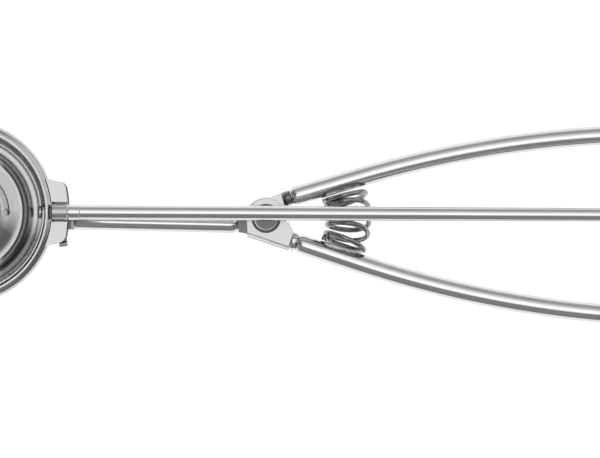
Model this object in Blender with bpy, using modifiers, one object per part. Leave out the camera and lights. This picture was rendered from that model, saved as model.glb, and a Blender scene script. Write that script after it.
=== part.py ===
"""Squeeze-handle ice cream scoop: a bowl with a geared scraper, two bowed handles and a return spring.

The scoop is laid out with the bowl's rim in the plane z = 0, the bowl's axis on Z and the centre rod
along +X. A root empty then carries everything, so that the origin is on the flat underside of the
drive housing. Units are metres, with +Z up.
"""
import math

import bmesh
import bpy
from mathutils import Matrix, Vector

MM = 0.001

# Fits
CLEARANCE = 0.3 * MM            # gap between pieces that touch or run in each other
MERGE = 0.001 * MM              # distance under which two vertices are one

# Bowl
BOWL_INNER_RADIUS = 25.0 * MM
BOWL_WALL = 0.9 * MM
AXLE_DEPTH = 6.6 * MM           # scraper axle, and the half-ball's centre, below the rim
LIP_CREST = 0.2 * MM            # the lip's top edge, outside the bowl's inner wall
LIP_RADIUS = 2.5 * MM           # quarter round of the lip, from its top edge down
LIP_HEIGHT = 2.9 * MM
BOWL_STEPS = 48
BALL_STEPS = 12                 # from the pole to the wall

# Scraper
BLADE_WIDTH = 4.4 * MM
BLADE_THICKNESS = 0.8 * MM
BLADE_GAP = 0.4 * MM            # between the blade's outer face and the bowl
AXLE_RADIUS = 1.2 * MM
AXLE_HEAD_RADIUS = 1.9 * MM
AXLE_HEAD_THICKNESS = 0.7 * MM
BUSH_WALL = 0.6 * MM
BUSH_FLANGE_RADIUS = 2.3 * MM
BUSH_FLANGE_THICKNESS = 0.6 * MM
POLE_WASHER_RADIUS = 2.8 * MM
POLE_WASHER_THICKNESS = 0.8 * MM
POLE_HEAD_THICKNESS = 0.8 * MM
HEAD_TAPER = 0.78               # small end of a rivet head over its large end

# Rack and pinion
GEAR_MODULE = 0.6 * MM
PINION_TEETH = 10
PINION_WIDTH = 2.2 * MM
PRESSURE_ANGLE = math.radians(25)
ADDENDUM = 0.48 * MM
DEDENDUM = 0.63 * MM
TOOTH_THICKNESS = 0.79 * MM     # on the pitch line, less than half the pitch for backlash
RACK_TEETH_BELOW = 5            # teeth on the -Y side of the one under the axle, at rest
RACK_TEETH_ABOVE = 1
RACK_WIDTH = 2.5 * MM
RACK_BODY = 1.37 * MM           # thickness under the tooth roots
RACK_STEP = 0.12 * MM           # set-back of one part of the rack from the next
RACK_WEB = 1.0 * MM             # thickness of the strip that joins it to the tongue
RACK_TONGUE_THICKNESS = 0.7 * MM
RACK_SPIGOT_LENGTH = 5.0 * MM

# Drive housing
SHEET = 1.0 * MM
HOUSING_TOP_DROP = 0.3 * MM     # top plate below the rim
HOUSING_DEPTH = 5.8 * MM        # from the bowl's outer wall to the housing's outer edge
HOUSING_HALF_WIDTH_INNER = 10.4 * MM
HOUSING_HALF_WIDTH_OUTER = 9.3 * MM
HOUSING_CORNER = 1.5 * MM       # how far the outer edge is set back at its rounded corners
HOUSING_EDGE_DROP = 0.5 * MM    # how far the outer edge bows
EAR_THICKNESS = 0.8 * MM
EAR_SETBACK = 0.15 * MM         # ear inside the housing's outer edge
EAR_TOP_HALF_WIDTH = 3.6 * MM
EAR_RADIUS = 2.2 * MM

# Centre rod with its socket and collar
ROD_RADIUS = 2.175 * MM
ROD_HEIGHT = 1.0 * MM           # rod axis above the rim
ROD_END_X = 222.0 * MM
ROD_NECK_RADIUS = 1.5 * MM
ROD_DOME = 1.74 * MM            # length of its rounded far end
SOCKET_RADIUS = 2.475 * MM
SOCKET_LAP = 0.46 * MM          # socket over the lip
COLLAR_RADIUS = 2.25 * MM
COLLAR_LENGTH = 3.4 * MM
NECK_INSET = 1.06 * MM          # start of the rod's neck inside the socket

# Handle pivot
PIVOT_X = 91.26 * MM
PIVOT_OFFSET = 1.55 * MM        # pivot on the -Y side of the rod
SPACER_RADIUS = 3.6 * MM
SPACER_CHAMFER = 0.4 * MM
RIVET_RADIUS = 1.6 * MM
RIVET_HEAD_RADIUS = 3.0 * MM
RIVET_HEAD_THICKNESS = 1.0 * MM
RIVET_SOCKET_DEPTH = 2.5 * MM
WASHER_RADIUS = 3.6 * MM
WASHER_THICKNESS = 0.6 * MM
PLATE = 1.2 * MM                # lever plate

# Handles and rack rod, all of one tube
TUBE_RADIUS = 2.7 * MM
TUBE_WALL = 0.8 * MM
TUBE_DEPTH = 8.8 * MM           # tube axes below the rim
TUBE_NOSE = 1.6 * MM            # length of the rounded start
TUBE_NOSE_SCALE = 0.8           # tube radius at its very end over its full radius
TUBE_NOSE_MIDDLE_SCALE = 0.93   # the same, halfway down the nose
ARM_ANGLE = math.radians(17.35)
ARM_MIDLINE_TILT = math.radians(-0.73)
ARM_OFFSET = 4.04 * MM          # tube axis to the pivot
ARM_BEND_RADIUS = 327.0 * MM
ARM_STRAIGHT_END = 30.2 * MM    # along the arm from the pivot
ARM_TIP_RADIUS = 40.0 * MM
ARM_TIP_TURN = math.radians(14)
UPPER_ARM_START = 10.3 * MM
LOWER_ARM_START = 11.5 * MM
PLUG_SPIGOT_LENGTH = 5.0 * MM
PLUG_DOME = 1.9 * MM
RACK_ROD_ANGLE = math.radians(0.99)
RACK_ROD_OFFSET = 2.03 * MM
RACK_ROD_INSET = 1.8 * MM       # start of the rack rod outside the housing
RACK_ROD_END_X = 82.6 * MM
TONGUE_LENGTH = 6.0 * MM
TONGUE_WIDTH = 2.8 * MM

# Plates at the pivot
LEVER_EYE_RADIUS = 6.4 * MM
LEVER_INNER_EYE_RADIUS = 4.6 * MM
LEVER_NECK_HALF_WIDTH = 2.2 * MM
LEVER_SHOULDER_RADIUS = 7.0 * MM
LEVER_EYE_TURNS = (math.radians(82), math.radians(150))
LEVER_SHOULDER_TURNS = (math.radians(224), math.radians(257))
LEVER_INNER_TURNS = (math.radians(-80), math.radians(-5))
FISHTAIL_HALF_WIDTH = 2.3 * MM
CLEVIS_EYE_RADIUS = 6.0 * MM
CLEVIS_FOLD = 6.14 * MM         # fold's outer face to the pivot
CLEVIS_LEDGE = 1.0 * MM         # lower plate beyond the fold
CLEVIS_EYE_TURNS = (math.radians(155), math.radians(350))
CLEVIS_FOLD_START = -3.6 * MM
CLEVIS_WEB_START = 3.0 * MM
CLEVIS_END = 10.2 * MM
CLEVIS_NECK_INNER = 1.5 * MM
CLEVIS_BLOCK_LENGTH = 1.8 * MM
COLLAR_RING_WALL = 0.45 * MM
COLLAR_RING_LENGTH = 2.0 * MM
COLLAR_RING_START = 10.9 * MM

# Return spring
SPRING_DISTANCE = 24.8 * MM     # coil axis to the pivot
SPRING_OUTER_RADIUS = 7.05 * MM
SPRING_WIRE_RADIUS = 0.8 * MM
SPRING_TURNS = 4
SPRING_HALF_ANGLE = math.radians(14.6)
SPRING_LEAN = math.radians(4)   # how far the turns lean round the pivot, from their middle
SPRING_LEAD = math.radians(26)  # share of the first and last turn that the legs take
SPRING_POINTS_PER_TURN = 10
SPRING_LEG = 1.6 * MM           # straight end, one wire diameter long
SPRING_LEG_TURN = math.radians(2.5)

# Facets of round pieces
ROUND_STEPS = 24
PIN_STEPS = 16
HOLE_STEPS = 20

# Values worked out from the sizes above
BOWL_OUTER_RADIUS = BOWL_INNER_RADIUS + BOWL_WALL
AXLE_Z = -AXLE_DEPTH
TUBE_Z = -TUBE_DEPTH
TUBE_BORE_RADIUS = TUBE_RADIUS - TUBE_WALL
PLUG_SPIGOT_RADIUS = TUBE_BORE_RADIUS - CLEARANCE
COLLAR_RING_BORE = TUBE_RADIUS + CLEARANCE
COLLAR_RING_RADIUS = COLLAR_RING_BORE + COLLAR_RING_WALL
LIP_CREST_RADIUS = BOWL_INNER_RADIUS + LIP_CREST
LIP_OUTER_RADIUS = LIP_CREST_RADIUS + LIP_RADIUS
HOUSING_REACH = BOWL_OUTER_RADIUS + HOUSING_DEPTH
SOCKET_START_X = LIP_OUTER_RADIUS - SOCKET_LAP
NECK_START_X = SOCKET_START_X + NECK_INSET
RACK_ROD_START_X = HOUSING_REACH + RACK_ROD_INSET
PITCH_RADIUS = GEAR_MODULE * PINION_TEETH / 2
PITCH = math.pi * GEAR_MODULE
RACK_PITCH_Z = AXLE_Z - PITCH_RADIUS
RACK_BOTTOM_Z = RACK_PITCH_Z - DEDENDUM - RACK_BODY
HOUSING_TOP_Z = -HOUSING_TOP_DROP
FLOOR_PLATE_TOP_Z = RACK_BOTTOM_Z - CLEARANCE
HOUSING_BOTTOM_Z = FLOOR_PLATE_TOP_Z - SHEET
SADDLE_INNER_RADIUS = BOWL_OUTER_RADIUS + CLEARANCE
SADDLE_OUTER_RADIUS = SADDLE_INNER_RADIUS + SHEET
LIP_CLEAR_RADIUS = LIP_OUTER_RADIUS + CLEARANCE
EAR_START_X = HOUSING_REACH - EAR_SETBACK - EAR_THICKNESS
PINION_END_X = EAR_START_X - CLEARANCE
PINION_START_X = PINION_END_X - PINION_WIDTH
PINION_CENTRE_X = (PINION_START_X + PINION_END_X) / 2
BUSH_RADIUS = AXLE_RADIUS + CLEARANCE + BUSH_WALL
BUSH_FLANGE_END_X = PINION_START_X - CLEARANCE
BUSH_FLANGE_START_X = BUSH_FLANGE_END_X - BUSH_FLANGE_THICKNESS
RACK_RADIUS = PIVOT_X - PINION_CENTRE_X
PIVOT = Vector((PIVOT_X, -PIVOT_OFFSET))
BLADE_OUTER_RADIUS = BOWL_INNER_RADIUS - BLADE_GAP
BLADE_INNER_RADIUS = BLADE_OUTER_RADIUS - BLADE_THICKNESS
ROD_START_X = HOUSING_REACH + COLLAR_LENGTH + 2 * CLEARANCE
LEVER_TOP_Z = TUBE_Z + PLATE / 2
LEVER_BOTTOM_Z = TUBE_Z - PLATE / 2
CLEVIS_TOP_LOW_Z = LEVER_TOP_Z + CLEARANCE
CLEVIS_TOP_Z = CLEVIS_TOP_LOW_Z + SHEET
CLEVIS_LOW_TOP_Z = LEVER_BOTTOM_Z - CLEARANCE
CLEVIS_BOTTOM_Z = CLEVIS_LOW_TOP_Z - SHEET
SPACER_BOTTOM_Z = CLEVIS_TOP_Z + CLEARANCE
WASHER_TOP_Z = CLEVIS_BOTTOM_Z - CLEARANCE
RIVET_HEAD_TOP_Z = WASHER_TOP_Z - WASHER_THICKNESS - CLEARANCE
MOUNT_X = (SADDLE_INNER_RADIUS + HOUSING_REACH) / 2
SPRING_MEAN_RADIUS = SPRING_OUTER_RADIUS - SPRING_WIRE_RADIUS

parts = None
cutters = None
root = None


def clear_scene():
    for item in list(bpy.data.objects):
        bpy.data.objects.remove(item, do_unlink=True)


def steel(name, grey, roughness):
    """A metal with the piece's own grey and polish."""
    made = bpy.data.materials.new(name)
    made.use_nodes = True
    shader = made.node_tree.nodes["Principled BSDF"]
    shader.inputs["Base Color"].default_value = (grey, grey, grey * 1.01, 1)
    shader.inputs["Metallic"].default_value = 1.0
    shader.inputs["Roughness"].default_value = roughness
    return made


def place(item, collection):
    """Link an object to its collection alone and hang it on the root."""
    for other in list(item.users_collection):
        other.objects.unlink(item)
    collection.objects.link(item)
    item.parent = root
    return item


def as_part(item, name, grey=0.7, roughness=0.15):
    item.name = name
    item.data.name = name
    item.data.materials.clear()
    item.data.materials.append(steel(name, grey, roughness))
    return place(item, parts)


def as_cutter(item):
    item.hide_render = True
    item.display_type = "WIRE"
    return place(item, cutters)


def mesh_object(name, mesh):
    item = bpy.data.objects.new(name, mesh)
    bpy.context.scene.collection.objects.link(item)
    return item


def tidy_mesh(mesh):
    """Weld loose caps, turn all faces out and shade round faces smooth."""
    work = bmesh.new()
    work.from_mesh(mesh)
    bmesh.ops.remove_doubles(work, verts=work.verts, dist=MERGE)
    bmesh.ops.recalc_face_normals(work, faces=work.faces)
    work.to_mesh(mesh)
    work.free()
    mesh.shade_smooth()
    mesh.set_sharp_from_angle(angle=math.radians(35))


def baked(item):
    """Swap a curve, or an object with modifiers, for a plain mesh of its evaluated shape."""
    bpy.context.view_layer.update()
    graph = bpy.context.evaluated_depsgraph_get()
    mesh = bpy.data.meshes.new_from_object(item.evaluated_get(graph))
    made = mesh_object(item.name + "_mesh", mesh)
    made.matrix_world = item.matrix_world.copy()
    bpy.data.objects.remove(item, do_unlink=True)
    tidy_mesh(made.data)
    return made


def plate(points, low_z, thickness):
    """A flat plate from an outline in the XY plane."""
    curve = bpy.data.curves.new("outline", "CURVE")
    curve.dimensions = "2D"
    curve.fill_mode = "BOTH"
    curve.extrude = thickness / 2
    spline = curve.splines.new("POLY")
    spline.points.add(len(points) - 1)
    for slot, point in zip(spline.points, points):
        slot.co = (point[0], point[1], 0, 1)
    spline.use_cyclic_u = True
    item = bpy.data.objects.new("outline", curve)
    bpy.context.scene.collection.objects.link(item)
    item.location.z = low_z + thickness / 2
    return baked(item)


def plate_across(points, start_x, thickness):
    """A flat plate from a YZ outline, standing across the X axis."""
    item = plate(points, 0, thickness)
    turn = Matrix(((0, 0, 1), (1, 0, 0), (0, 1, 0))).to_4x4()
    item.matrix_world = Matrix.Translation((start_x, 0, 0)) @ turn
    return item


def tube_along(points, radius, scales=None):
    """A closed round bar along a list of points."""
    curve = bpy.data.curves.new("bar", "CURVE")
    curve.dimensions = "3D"
    curve.bevel_depth = radius
    curve.bevel_resolution = 4
    curve.use_fill_caps = True
    spline = curve.splines.new("POLY")
    spline.points.add(len(points) - 1)
    for index, point in enumerate(points):
        spline.points[index].co = (*point, 1)
        if scales:
            spline.points[index].radius = scales[index]
    item = bpy.data.objects.new("bar", curve)
    bpy.context.scene.collection.objects.link(item)
    return item


def turned(profile, steps, closed=False):
    """A body of revolution about local Z from (radius, height) points.

    The profile runs down its outer side, from top to bottom.
    """
    mesh = bpy.data.meshes.new("profile")
    edges = [(index, index + 1) for index in range(len(profile) - 1)]
    if closed:
        edges.append((len(profile) - 1, 0))
    mesh.from_pydata([(radius, 0, height) for radius, height in profile], edges, [])
    item = mesh_object("profile", mesh)
    screw = item.modifiers.new("Screw", "SCREW")
    screw.steps = steps
    screw.render_steps = steps
    screw.use_merge_vertices = True
    screw.merge_threshold = MERGE
    return baked(item)


def turned_on_x(profile, steps, centre_y=0.0, centre_z=0.0, closed=False):
    """A body of revolution about a line along X, from (radius, x) points, highest x first."""
    item = turned(profile, steps, closed)
    item.matrix_world = Matrix.Translation((0, centre_y, centre_z)) @ Matrix.Rotation(math.pi / 2, 4, "Y")
    return item


def turned_at(profile, steps, centre, closed=False):
    """A body of revolution about a vertical line through a point of the XY plane."""
    item = turned(profile, steps, closed)
    item.location = (centre[0], centre[1], 0)
    return item


def ring_profile(inner, outer, low, high):
    return [(inner, high), (outer, high), (outer, low), (inner, low)]


def disc_profile(radius, low, high):
    return [(0, high), (radius, high), (radius, low), (0, low)]


def combine(target, tool, operation="DIFFERENCE"):
    """Cut or join a tool, which stays in the scene as a wire guide."""
    as_cutter(tool)
    step = target.modifiers.new(operation.title(), "BOOLEAN")
    step.operation = operation
    step.solver = "EXACT"
    step.object = tool


def arc(centre, radius, start, end, count):
    """Points on an arc, with both ends, in the order start to end."""
    made = []
    for index in range(count):
        angle = start + (end - start) * index / (count - 1)
        made.append((centre[0] + radius * math.cos(angle), centre[1] + radius * math.sin(angle)))
    return made


def bowl_outline(offset):
    """The bowl's outside from the top of the lip to the pole, grown by an offset."""
    wall = BOWL_OUTER_RADIUS + offset
    points = arc((LIP_CREST_RADIUS, -LIP_RADIUS), LIP_RADIUS + offset, math.pi / 2, 0, 8)
    points.append((LIP_OUTER_RADIUS + offset, -LIP_HEIGHT - offset))
    points.append((wall, -LIP_HEIGHT - offset))
    points += arc((0, AXLE_Z), wall, 0, -math.pi / 2, BALL_STEPS)
    points[-1] = (0, AXLE_Z - wall)
    return points


def bowl_body():
    """The bowl and, inside, the ball that its contents fill."""
    inner = arc((0, AXLE_Z), BOWL_INNER_RADIUS, -math.pi / 2, 0, BALL_STEPS)
    inner[0] = (0, AXLE_Z - BOWL_INNER_RADIUS)
    inner.append((BOWL_INNER_RADIUS, -LIP_CREST))
    return turned(inner + bowl_outline(0), BOWL_STEPS)


def bowl_clearance():
    """A solid of the bowl's outside and one clearance, for what fits round it."""
    return turned([(0, CLEARANCE)] + bowl_outline(CLEARANCE), BOWL_STEPS)


def make_bowl():
    item = as_part(bowl_body(), "bowl", 0.72, 0.08)
    span = 2 * (BOWL_WALL + LIP_RADIUS)
    axle_side = disc_profile(BUSH_RADIUS + CLEARANCE, BOWL_OUTER_RADIUS - span, BOWL_OUTER_RADIUS + span)
    pole_side = disc_profile(AXLE_RADIUS + CLEARANCE, -BOWL_OUTER_RADIUS - span, -BOWL_OUTER_RADIUS + span)
    combine(item, turned_on_x(axle_side, HOLE_STEPS, centre_z=AXLE_Z))
    combine(item, turned_on_x(pole_side, PIN_STEPS, centre_z=AXLE_Z))


def make_scraper():
    """Half-ring blade with round pads, the headed axle and the fixed pin at the other pole."""
    half = BLADE_WIDTH / 2
    ring = ring_profile(BLADE_INNER_RADIUS, BLADE_OUTER_RADIUS, AXLE_Z - half, AXLE_Z + half)
    blade = as_part(turned(ring, 56, closed=True), "scraper_blade", 0.68, 0.12)
    reach = BLADE_OUTER_RADIUS + BLADE_WIDTH
    keep = plate([(-reach, 0), (reach, 0), (reach, -reach), (-reach, -reach)], AXLE_Z - half * 2, half * 4)
    combine(keep, turned_on_x(disc_profile(half, -reach, reach), ROUND_STEPS, centre_z=AXLE_Z), "UNION")
    combine(blade, baked(keep), "INTERSECT")
    hole = disc_profile(AXLE_RADIUS + CLEARANCE, -reach, reach)
    combine(blade, turned_on_x(hole, PIN_STEPS, centre_z=AXLE_Z))

    head_x = BLADE_INNER_RADIUS - CLEARANCE
    axle = [
        (0, HOUSING_REACH),
        (AXLE_RADIUS, HOUSING_REACH),
        (AXLE_RADIUS, head_x),
        (AXLE_HEAD_RADIUS, head_x),
        (AXLE_HEAD_RADIUS, head_x - AXLE_HEAD_THICKNESS),
        (0, head_x - AXLE_HEAD_THICKNESS),
    ]
    as_part(turned_on_x(axle, PIN_STEPS, centre_z=AXLE_Z), "scraper_axle", 0.6, 0.2)

    washer_x = -BOWL_OUTER_RADIUS - CLEARANCE
    outer_x = washer_x - POLE_WASHER_THICKNESS - CLEARANCE
    rivet = [
        (0, AXLE_HEAD_THICKNESS - head_x),
        (AXLE_HEAD_RADIUS, AXLE_HEAD_THICKNESS - head_x),
        (AXLE_HEAD_RADIUS, -head_x),
        (AXLE_RADIUS, -head_x),
        (AXLE_RADIUS, outer_x),
        (AXLE_HEAD_RADIUS, outer_x),
        (AXLE_HEAD_RADIUS * HEAD_TAPER, outer_x - POLE_HEAD_THICKNESS),
        (0, outer_x - POLE_HEAD_THICKNESS),
    ]
    as_part(turned_on_x(rivet, PIN_STEPS, centre_z=AXLE_Z), "pole_rivet", 0.6, 0.2)
    washer_end = washer_x - POLE_WASHER_THICKNESS
    washer = ring_profile(AXLE_RADIUS + CLEARANCE, POLE_WASHER_RADIUS, washer_end, washer_x)
    item = as_part(turned_on_x(washer, HOLE_STEPS, centre_z=AXLE_Z, closed=True), "pole_washer", 0.65, 0.2)
    combine(item, bowl_clearance())


def make_bush():
    bore = AXLE_RADIUS + CLEARANCE
    start = math.sqrt(BOWL_INNER_RADIUS ** 2 - BUSH_RADIUS ** 2) + CLEARANCE
    profile = [
        (bore, BUSH_FLANGE_END_X),
        (BUSH_FLANGE_RADIUS, BUSH_FLANGE_END_X),
        (BUSH_FLANGE_RADIUS, BUSH_FLANGE_START_X),
        (BUSH_RADIUS, BUSH_FLANGE_START_X),
        (BUSH_RADIUS, start),
        (bore, start),
    ]
    as_part(turned_on_x(profile, HOLE_STEPS, centre_z=AXLE_Z, closed=True), "axle_bush", 0.55, 0.3)


def involute(angle):
    return math.tan(angle) - angle


def pinion_half_tooth():
    """(radius, half angle) down one flank, from the tip to the root."""
    base = PITCH_RADIUS * math.cos(PRESSURE_ANGLE)
    at_base = TOOTH_THICKNESS / (2 * PITCH_RADIUS) + involute(PRESSURE_ANGLE)
    tip = PITCH_RADIUS + ADDENDUM
    flank = []
    for index in range(4):
        radius = tip + (base - tip) * index / 3
        flank.append((radius, at_base - involute(math.acos(min(1, base / radius)))))
    flank.append((PITCH_RADIUS - DEDENDUM, at_base))
    return flank


def pinion_outline():
    """YZ outline of the gear, with a tooth gap straight down, where a rack tooth stands."""
    flank = pinion_half_tooth()
    points = []
    for tooth in range(PINION_TEETH):
        middle = -math.pi / 2 + math.pi / PINION_TEETH + tooth * 2 * math.pi / PINION_TEETH
        for radius, half in reversed(flank):
            points.append((radius * math.cos(middle - half), AXLE_Z + radius * math.sin(middle - half)))
        for radius, half in flank:
            points.append((radius * math.cos(middle + half), AXLE_Z + radius * math.sin(middle + half)))
    return points


def make_pinion():
    item = as_part(plate_across(pinion_outline(), PINION_CENTRE_X, PINION_WIDTH), "pinion", 0.55, 0.3)
    hole = disc_profile(AXLE_RADIUS + CLEARANCE, PINION_START_X - SHEET, PINION_END_X + SHEET)
    combine(item, turned_on_x(hole, PIN_STEPS, centre_z=AXLE_Z))


def rack_turn(distance):
    """Angle about the pivot of a place on the rack that lies this far along +Y from the axle."""
    return (PIVOT_OFFSET + distance) / RACK_RADIUS


def around_pivot(angle, radius):
    """A point on the bowl's side of the pivot, turned towards +Y by the angle."""
    return (PIVOT.x - radius * math.cos(angle), PIVOT.y + radius * math.sin(angle))


def rack_tooth(distance):
    """One straight tooth that points at the pivot."""
    slope = math.tan(PRESSURE_ANGLE)
    root_drop = DEDENDUM + CLEARANCE
    tip_half = TOOTH_THICKNESS / 2 - ADDENDUM * slope
    root_half = TOOTH_THICKNESS / 2 + DEDENDUM * slope
    outline = [
        (-tip_half, ADDENDUM),
        (tip_half, ADDENDUM),
        (root_half, -DEDENDUM),
        (root_half, -root_drop),
        (-root_half, -root_drop),
        (-root_half, -DEDENDUM),
    ]
    item = plate_across(outline, 0, RACK_WIDTH - RACK_STEP)
    turn = Matrix.Rotation(-rack_turn(distance), 4, "Z")
    across = Matrix.Translation((-RACK_RADIUS, 0, RACK_PITCH_Z))
    item.matrix_world = Matrix.Translation((PIVOT.x, PIVOT.y, 0)) @ turn @ across @ item.matrix_world
    return item


def make_rack():
    """Toothed sector, its web and upright tongue, and the spigot in the rack rod."""
    low = rack_turn(-(RACK_TEETH_BELOW + 0.5) * PITCH)
    high = rack_turn((RACK_TEETH_ABOVE + 0.5) * PITCH)
    inner = RACK_RADIUS - RACK_WIDTH / 2
    outer = RACK_RADIUS + RACK_WIDTH / 2
    points = []
    for index in range(9):
        points.append(around_pivot(low + (high - low) * index / 8, outer))
    for index in range(9):
        points.append(around_pivot(high + (low - high) * index / 8, inner))
    item = as_part(plate(points, RACK_BOTTOM_Z, RACK_BODY), "rack_segment", 0.58, 0.3)
    for tooth in range(-RACK_TEETH_BELOW, RACK_TEETH_ABOVE + 1):
        combine(item, rack_tooth(tooth * PITCH), "UNION")

    start = rack_rod_point(RACK_ROD_START_X)
    half = TUBE_RADIUS
    tongue_end = RACK_ROD_START_X - CLEARANCE
    tongue_start = tongue_end - RACK_TONGUE_THICKNESS
    web_start = PIVOT.x - inner - RACK_WIDTH / 2
    web_end = tongue_end - RACK_STEP
    web_half = half - RACK_STEP
    web = [
        (web_start, start[1] - web_half),
        (web_end, start[1] - web_half),
        (web_end, start[1] + web_half),
        (web_start, start[1] + web_half),
    ]
    combine(item, plate(web, RACK_BOTTOM_Z + RACK_STEP, RACK_WEB), "UNION")
    tongue = [
        (tongue_start, start[1] - half),
        (tongue_end, start[1] - half),
        (tongue_end, start[1] + half),
        (tongue_start, start[1] + half),
    ]
    combine(item, plate(tongue, RACK_BOTTOM_Z, TUBE_Z + TUBE_RADIUS - RACK_BOTTOM_Z), "UNION")
    spigot_end = rack_rod_point(RACK_ROD_START_X + RACK_SPIGOT_LENGTH)
    spigot_start = rack_rod_point(tongue_end - RACK_TONGUE_THICKNESS / 2)
    ends = [(*spigot_start, TUBE_Z), (*spigot_end, TUBE_Z)]
    combine(item, baked(tube_along(ends, PLUG_SPIGOT_RADIUS)), "UNION")


def rack_rod_point(x):
    """The rack rod's axis at a distance from the bowl's axis."""
    return (x, PIVOT.y - RACK_ROD_OFFSET / math.cos(RACK_ROD_ANGLE) - (x - PIVOT.x) * math.tan(RACK_ROD_ANGLE))


def nose_scales(count):
    """Point radii of a tube whose first points round off its end."""
    return [TUBE_NOSE_SCALE, TUBE_NOSE_MIDDLE_SCALE] + [1.0] * (count - 2)


def hollow_tube(points, scales, name):
    """A tube along a path: the bar less a thinner bar that runs past both its ends."""
    item = as_part(baked(tube_along(points, TUBE_RADIUS, scales)), name, 0.74, 0.1)
    first = Vector(points[0])
    last = Vector(points[-1])
    before = first + (first - Vector(points[1])).normalized() * SHEET
    after = last + (last - Vector(points[-2])).normalized() * SHEET
    bore = [tuple(before)] + points[1:-1] + [tuple(after)]
    combine(item, baked(tube_along(bore, TUBE_BORE_RADIUS)))
    return item


def make_rack_rod():
    stations = [
        RACK_ROD_START_X,
        RACK_ROD_END_X - TUBE_NOSE,
        RACK_ROD_END_X - TUBE_NOSE / 2,
        RACK_ROD_END_X,
    ]
    points = [(*rack_rod_point(x), TUBE_Z) for x in reversed(stations)]
    hollow_tube(points, nose_scales(len(points)), "rack_rod")


def arm_point(side, along, outward):
    """A point in an arm's own axes: along the arm from the pivot, and away from the midline."""
    angle = ARM_MIDLINE_TILT + side * ARM_ANGLE
    ahead = Vector((math.cos(angle), math.sin(angle)))
    aside = Vector((-math.sin(angle), math.cos(angle))) * side
    return tuple(PIVOT + ahead * along + aside * outward)


def arm_path(side, start):
    """Tube axis: a straight run, one long bow and a tighter turn at the tip."""
    stations = [(start + TUBE_NOSE * share, ARM_OFFSET) for share in (0, 0.5, 1)]
    stations.append((ARM_STRAIGHT_END, ARM_OFFSET))
    bow = ARM_ANGLE
    for index in range(1, 17):
        turn = bow * index / 16
        along = ARM_STRAIGHT_END + ARM_BEND_RADIUS * math.sin(turn)
        stations.append((along, ARM_OFFSET - ARM_BEND_RADIUS * (1 - math.cos(turn))))
    bow_end = Vector(stations[-1])
    centre = bow_end + Vector((-math.sin(bow), -math.cos(bow))) * ARM_TIP_RADIUS
    for index in range(1, 6):
        turn = bow + ARM_TIP_TURN * index / 5
        stations.append(tuple(centre + Vector((math.sin(turn), math.cos(turn))) * ARM_TIP_RADIUS))
    return [(*arm_point(side, along, outward), TUBE_Z) for along, outward in stations]


def make_handle(side, start, name):
    points = arm_path(side, start)
    hollow_tube(points, nose_scales(len(points)), name)
    end = Vector(points[-1])
    ahead = (end - Vector(points[-2])).normalized()
    dome_start = CLEARANCE
    profile = [(0, dome_start + PLUG_DOME)]
    for index in range(1, 6):
        angle = math.pi / 2 * (1 - index / 5)
        profile.append((TUBE_RADIUS * math.cos(angle), dome_start + PLUG_DOME * math.sin(angle)))
    profile.append((PLUG_SPIGOT_RADIUS, dome_start))
    profile.append((PLUG_SPIGOT_RADIUS, -PLUG_SPIGOT_LENGTH))
    profile.append((0, -PLUG_SPIGOT_LENGTH))
    plug = turned(profile, PIN_STEPS)
    facing = Vector((0, 0, 1)).rotation_difference(ahead).to_matrix().to_4x4()
    plug.matrix_world = Matrix.Translation(end) @ facing
    as_part(plug, name + "_plug", 0.72, 0.12)


def make_lever_plate():
    """Middle plate of the pivot: its eye, the wing to the upper handle and the fishtail of the rack rod."""
    start = UPPER_ARM_START
    tongue = TONGUE_WIDTH / 2
    neck = LEVER_NECK_HALF_WIDTH
    shoulder = start - CLEARANCE
    arm = [
        arm_point(1, shoulder, ARM_OFFSET - neck),
        arm_point(1, shoulder, ARM_OFFSET - tongue),
        arm_point(1, start + TONGUE_LENGTH, ARM_OFFSET - tongue),
        arm_point(1, start + TONGUE_LENGTH, ARM_OFFSET + tongue),
        arm_point(1, shoulder, ARM_OFFSET + tongue),
        arm_point(1, shoulder, ARM_OFFSET + neck),
    ]
    top = arc(PIVOT, LEVER_EYE_RADIUS, *LEVER_EYE_TURNS, 10)
    end_y = rack_rod_point(RACK_ROD_END_X)[1]
    edge_x = RACK_ROD_END_X + CLEARANCE
    tip_x = RACK_ROD_END_X - TONGUE_LENGTH
    tip_y = rack_rod_point(tip_x)[1]
    flare = FISHTAIL_HALF_WIDTH
    tail = [
        (edge_x, end_y + flare),
        (edge_x, end_y + tongue),
        (tip_x, tip_y + tongue),
        (tip_x, tip_y - tongue),
        (edge_x, end_y - tongue),
        (edge_x, end_y - flare),
    ]
    shoulder_edge = arc(PIVOT, LEVER_SHOULDER_RADIUS, *LEVER_SHOULDER_TURNS, 4)
    low = arc(PIVOT, LEVER_INNER_EYE_RADIUS, *LEVER_INNER_TURNS, 7)
    outline = arm + top + tail + shoulder_edge + low
    item = as_part(plate(outline, LEVER_BOTTOM_Z, PLATE), "lever_plate", 0.7, 0.12)
    pivot_hole(item, RIVET_RADIUS + CLEARANCE)


def pivot_hole(item, radius):
    profile = disc_profile(radius, CLEVIS_BOTTOM_Z - SHEET, CLEVIS_TOP_Z + SHEET)
    combine(item, turned_at(profile, HOLE_STEPS, PIVOT))


def clevis_outline():
    """Eye and neck of the clevis, out to its ledge."""
    ledge = CLEVIS_FOLD + CLEVIS_LEDGE
    outline = [(CLEVIS_FOLD_START, ledge)] + arc((0, 0), CLEVIS_EYE_RADIUS, *CLEVIS_EYE_TURNS, 15)
    outline += [
        (CLEVIS_EYE_RADIUS + SHEET, -SHEET),
        (CLEVIS_END, CLEVIS_NECK_INNER),
        (CLEVIS_END, ledge),
    ]
    return [arm_point(-1, along, outward) for along, outward in outline]


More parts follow.
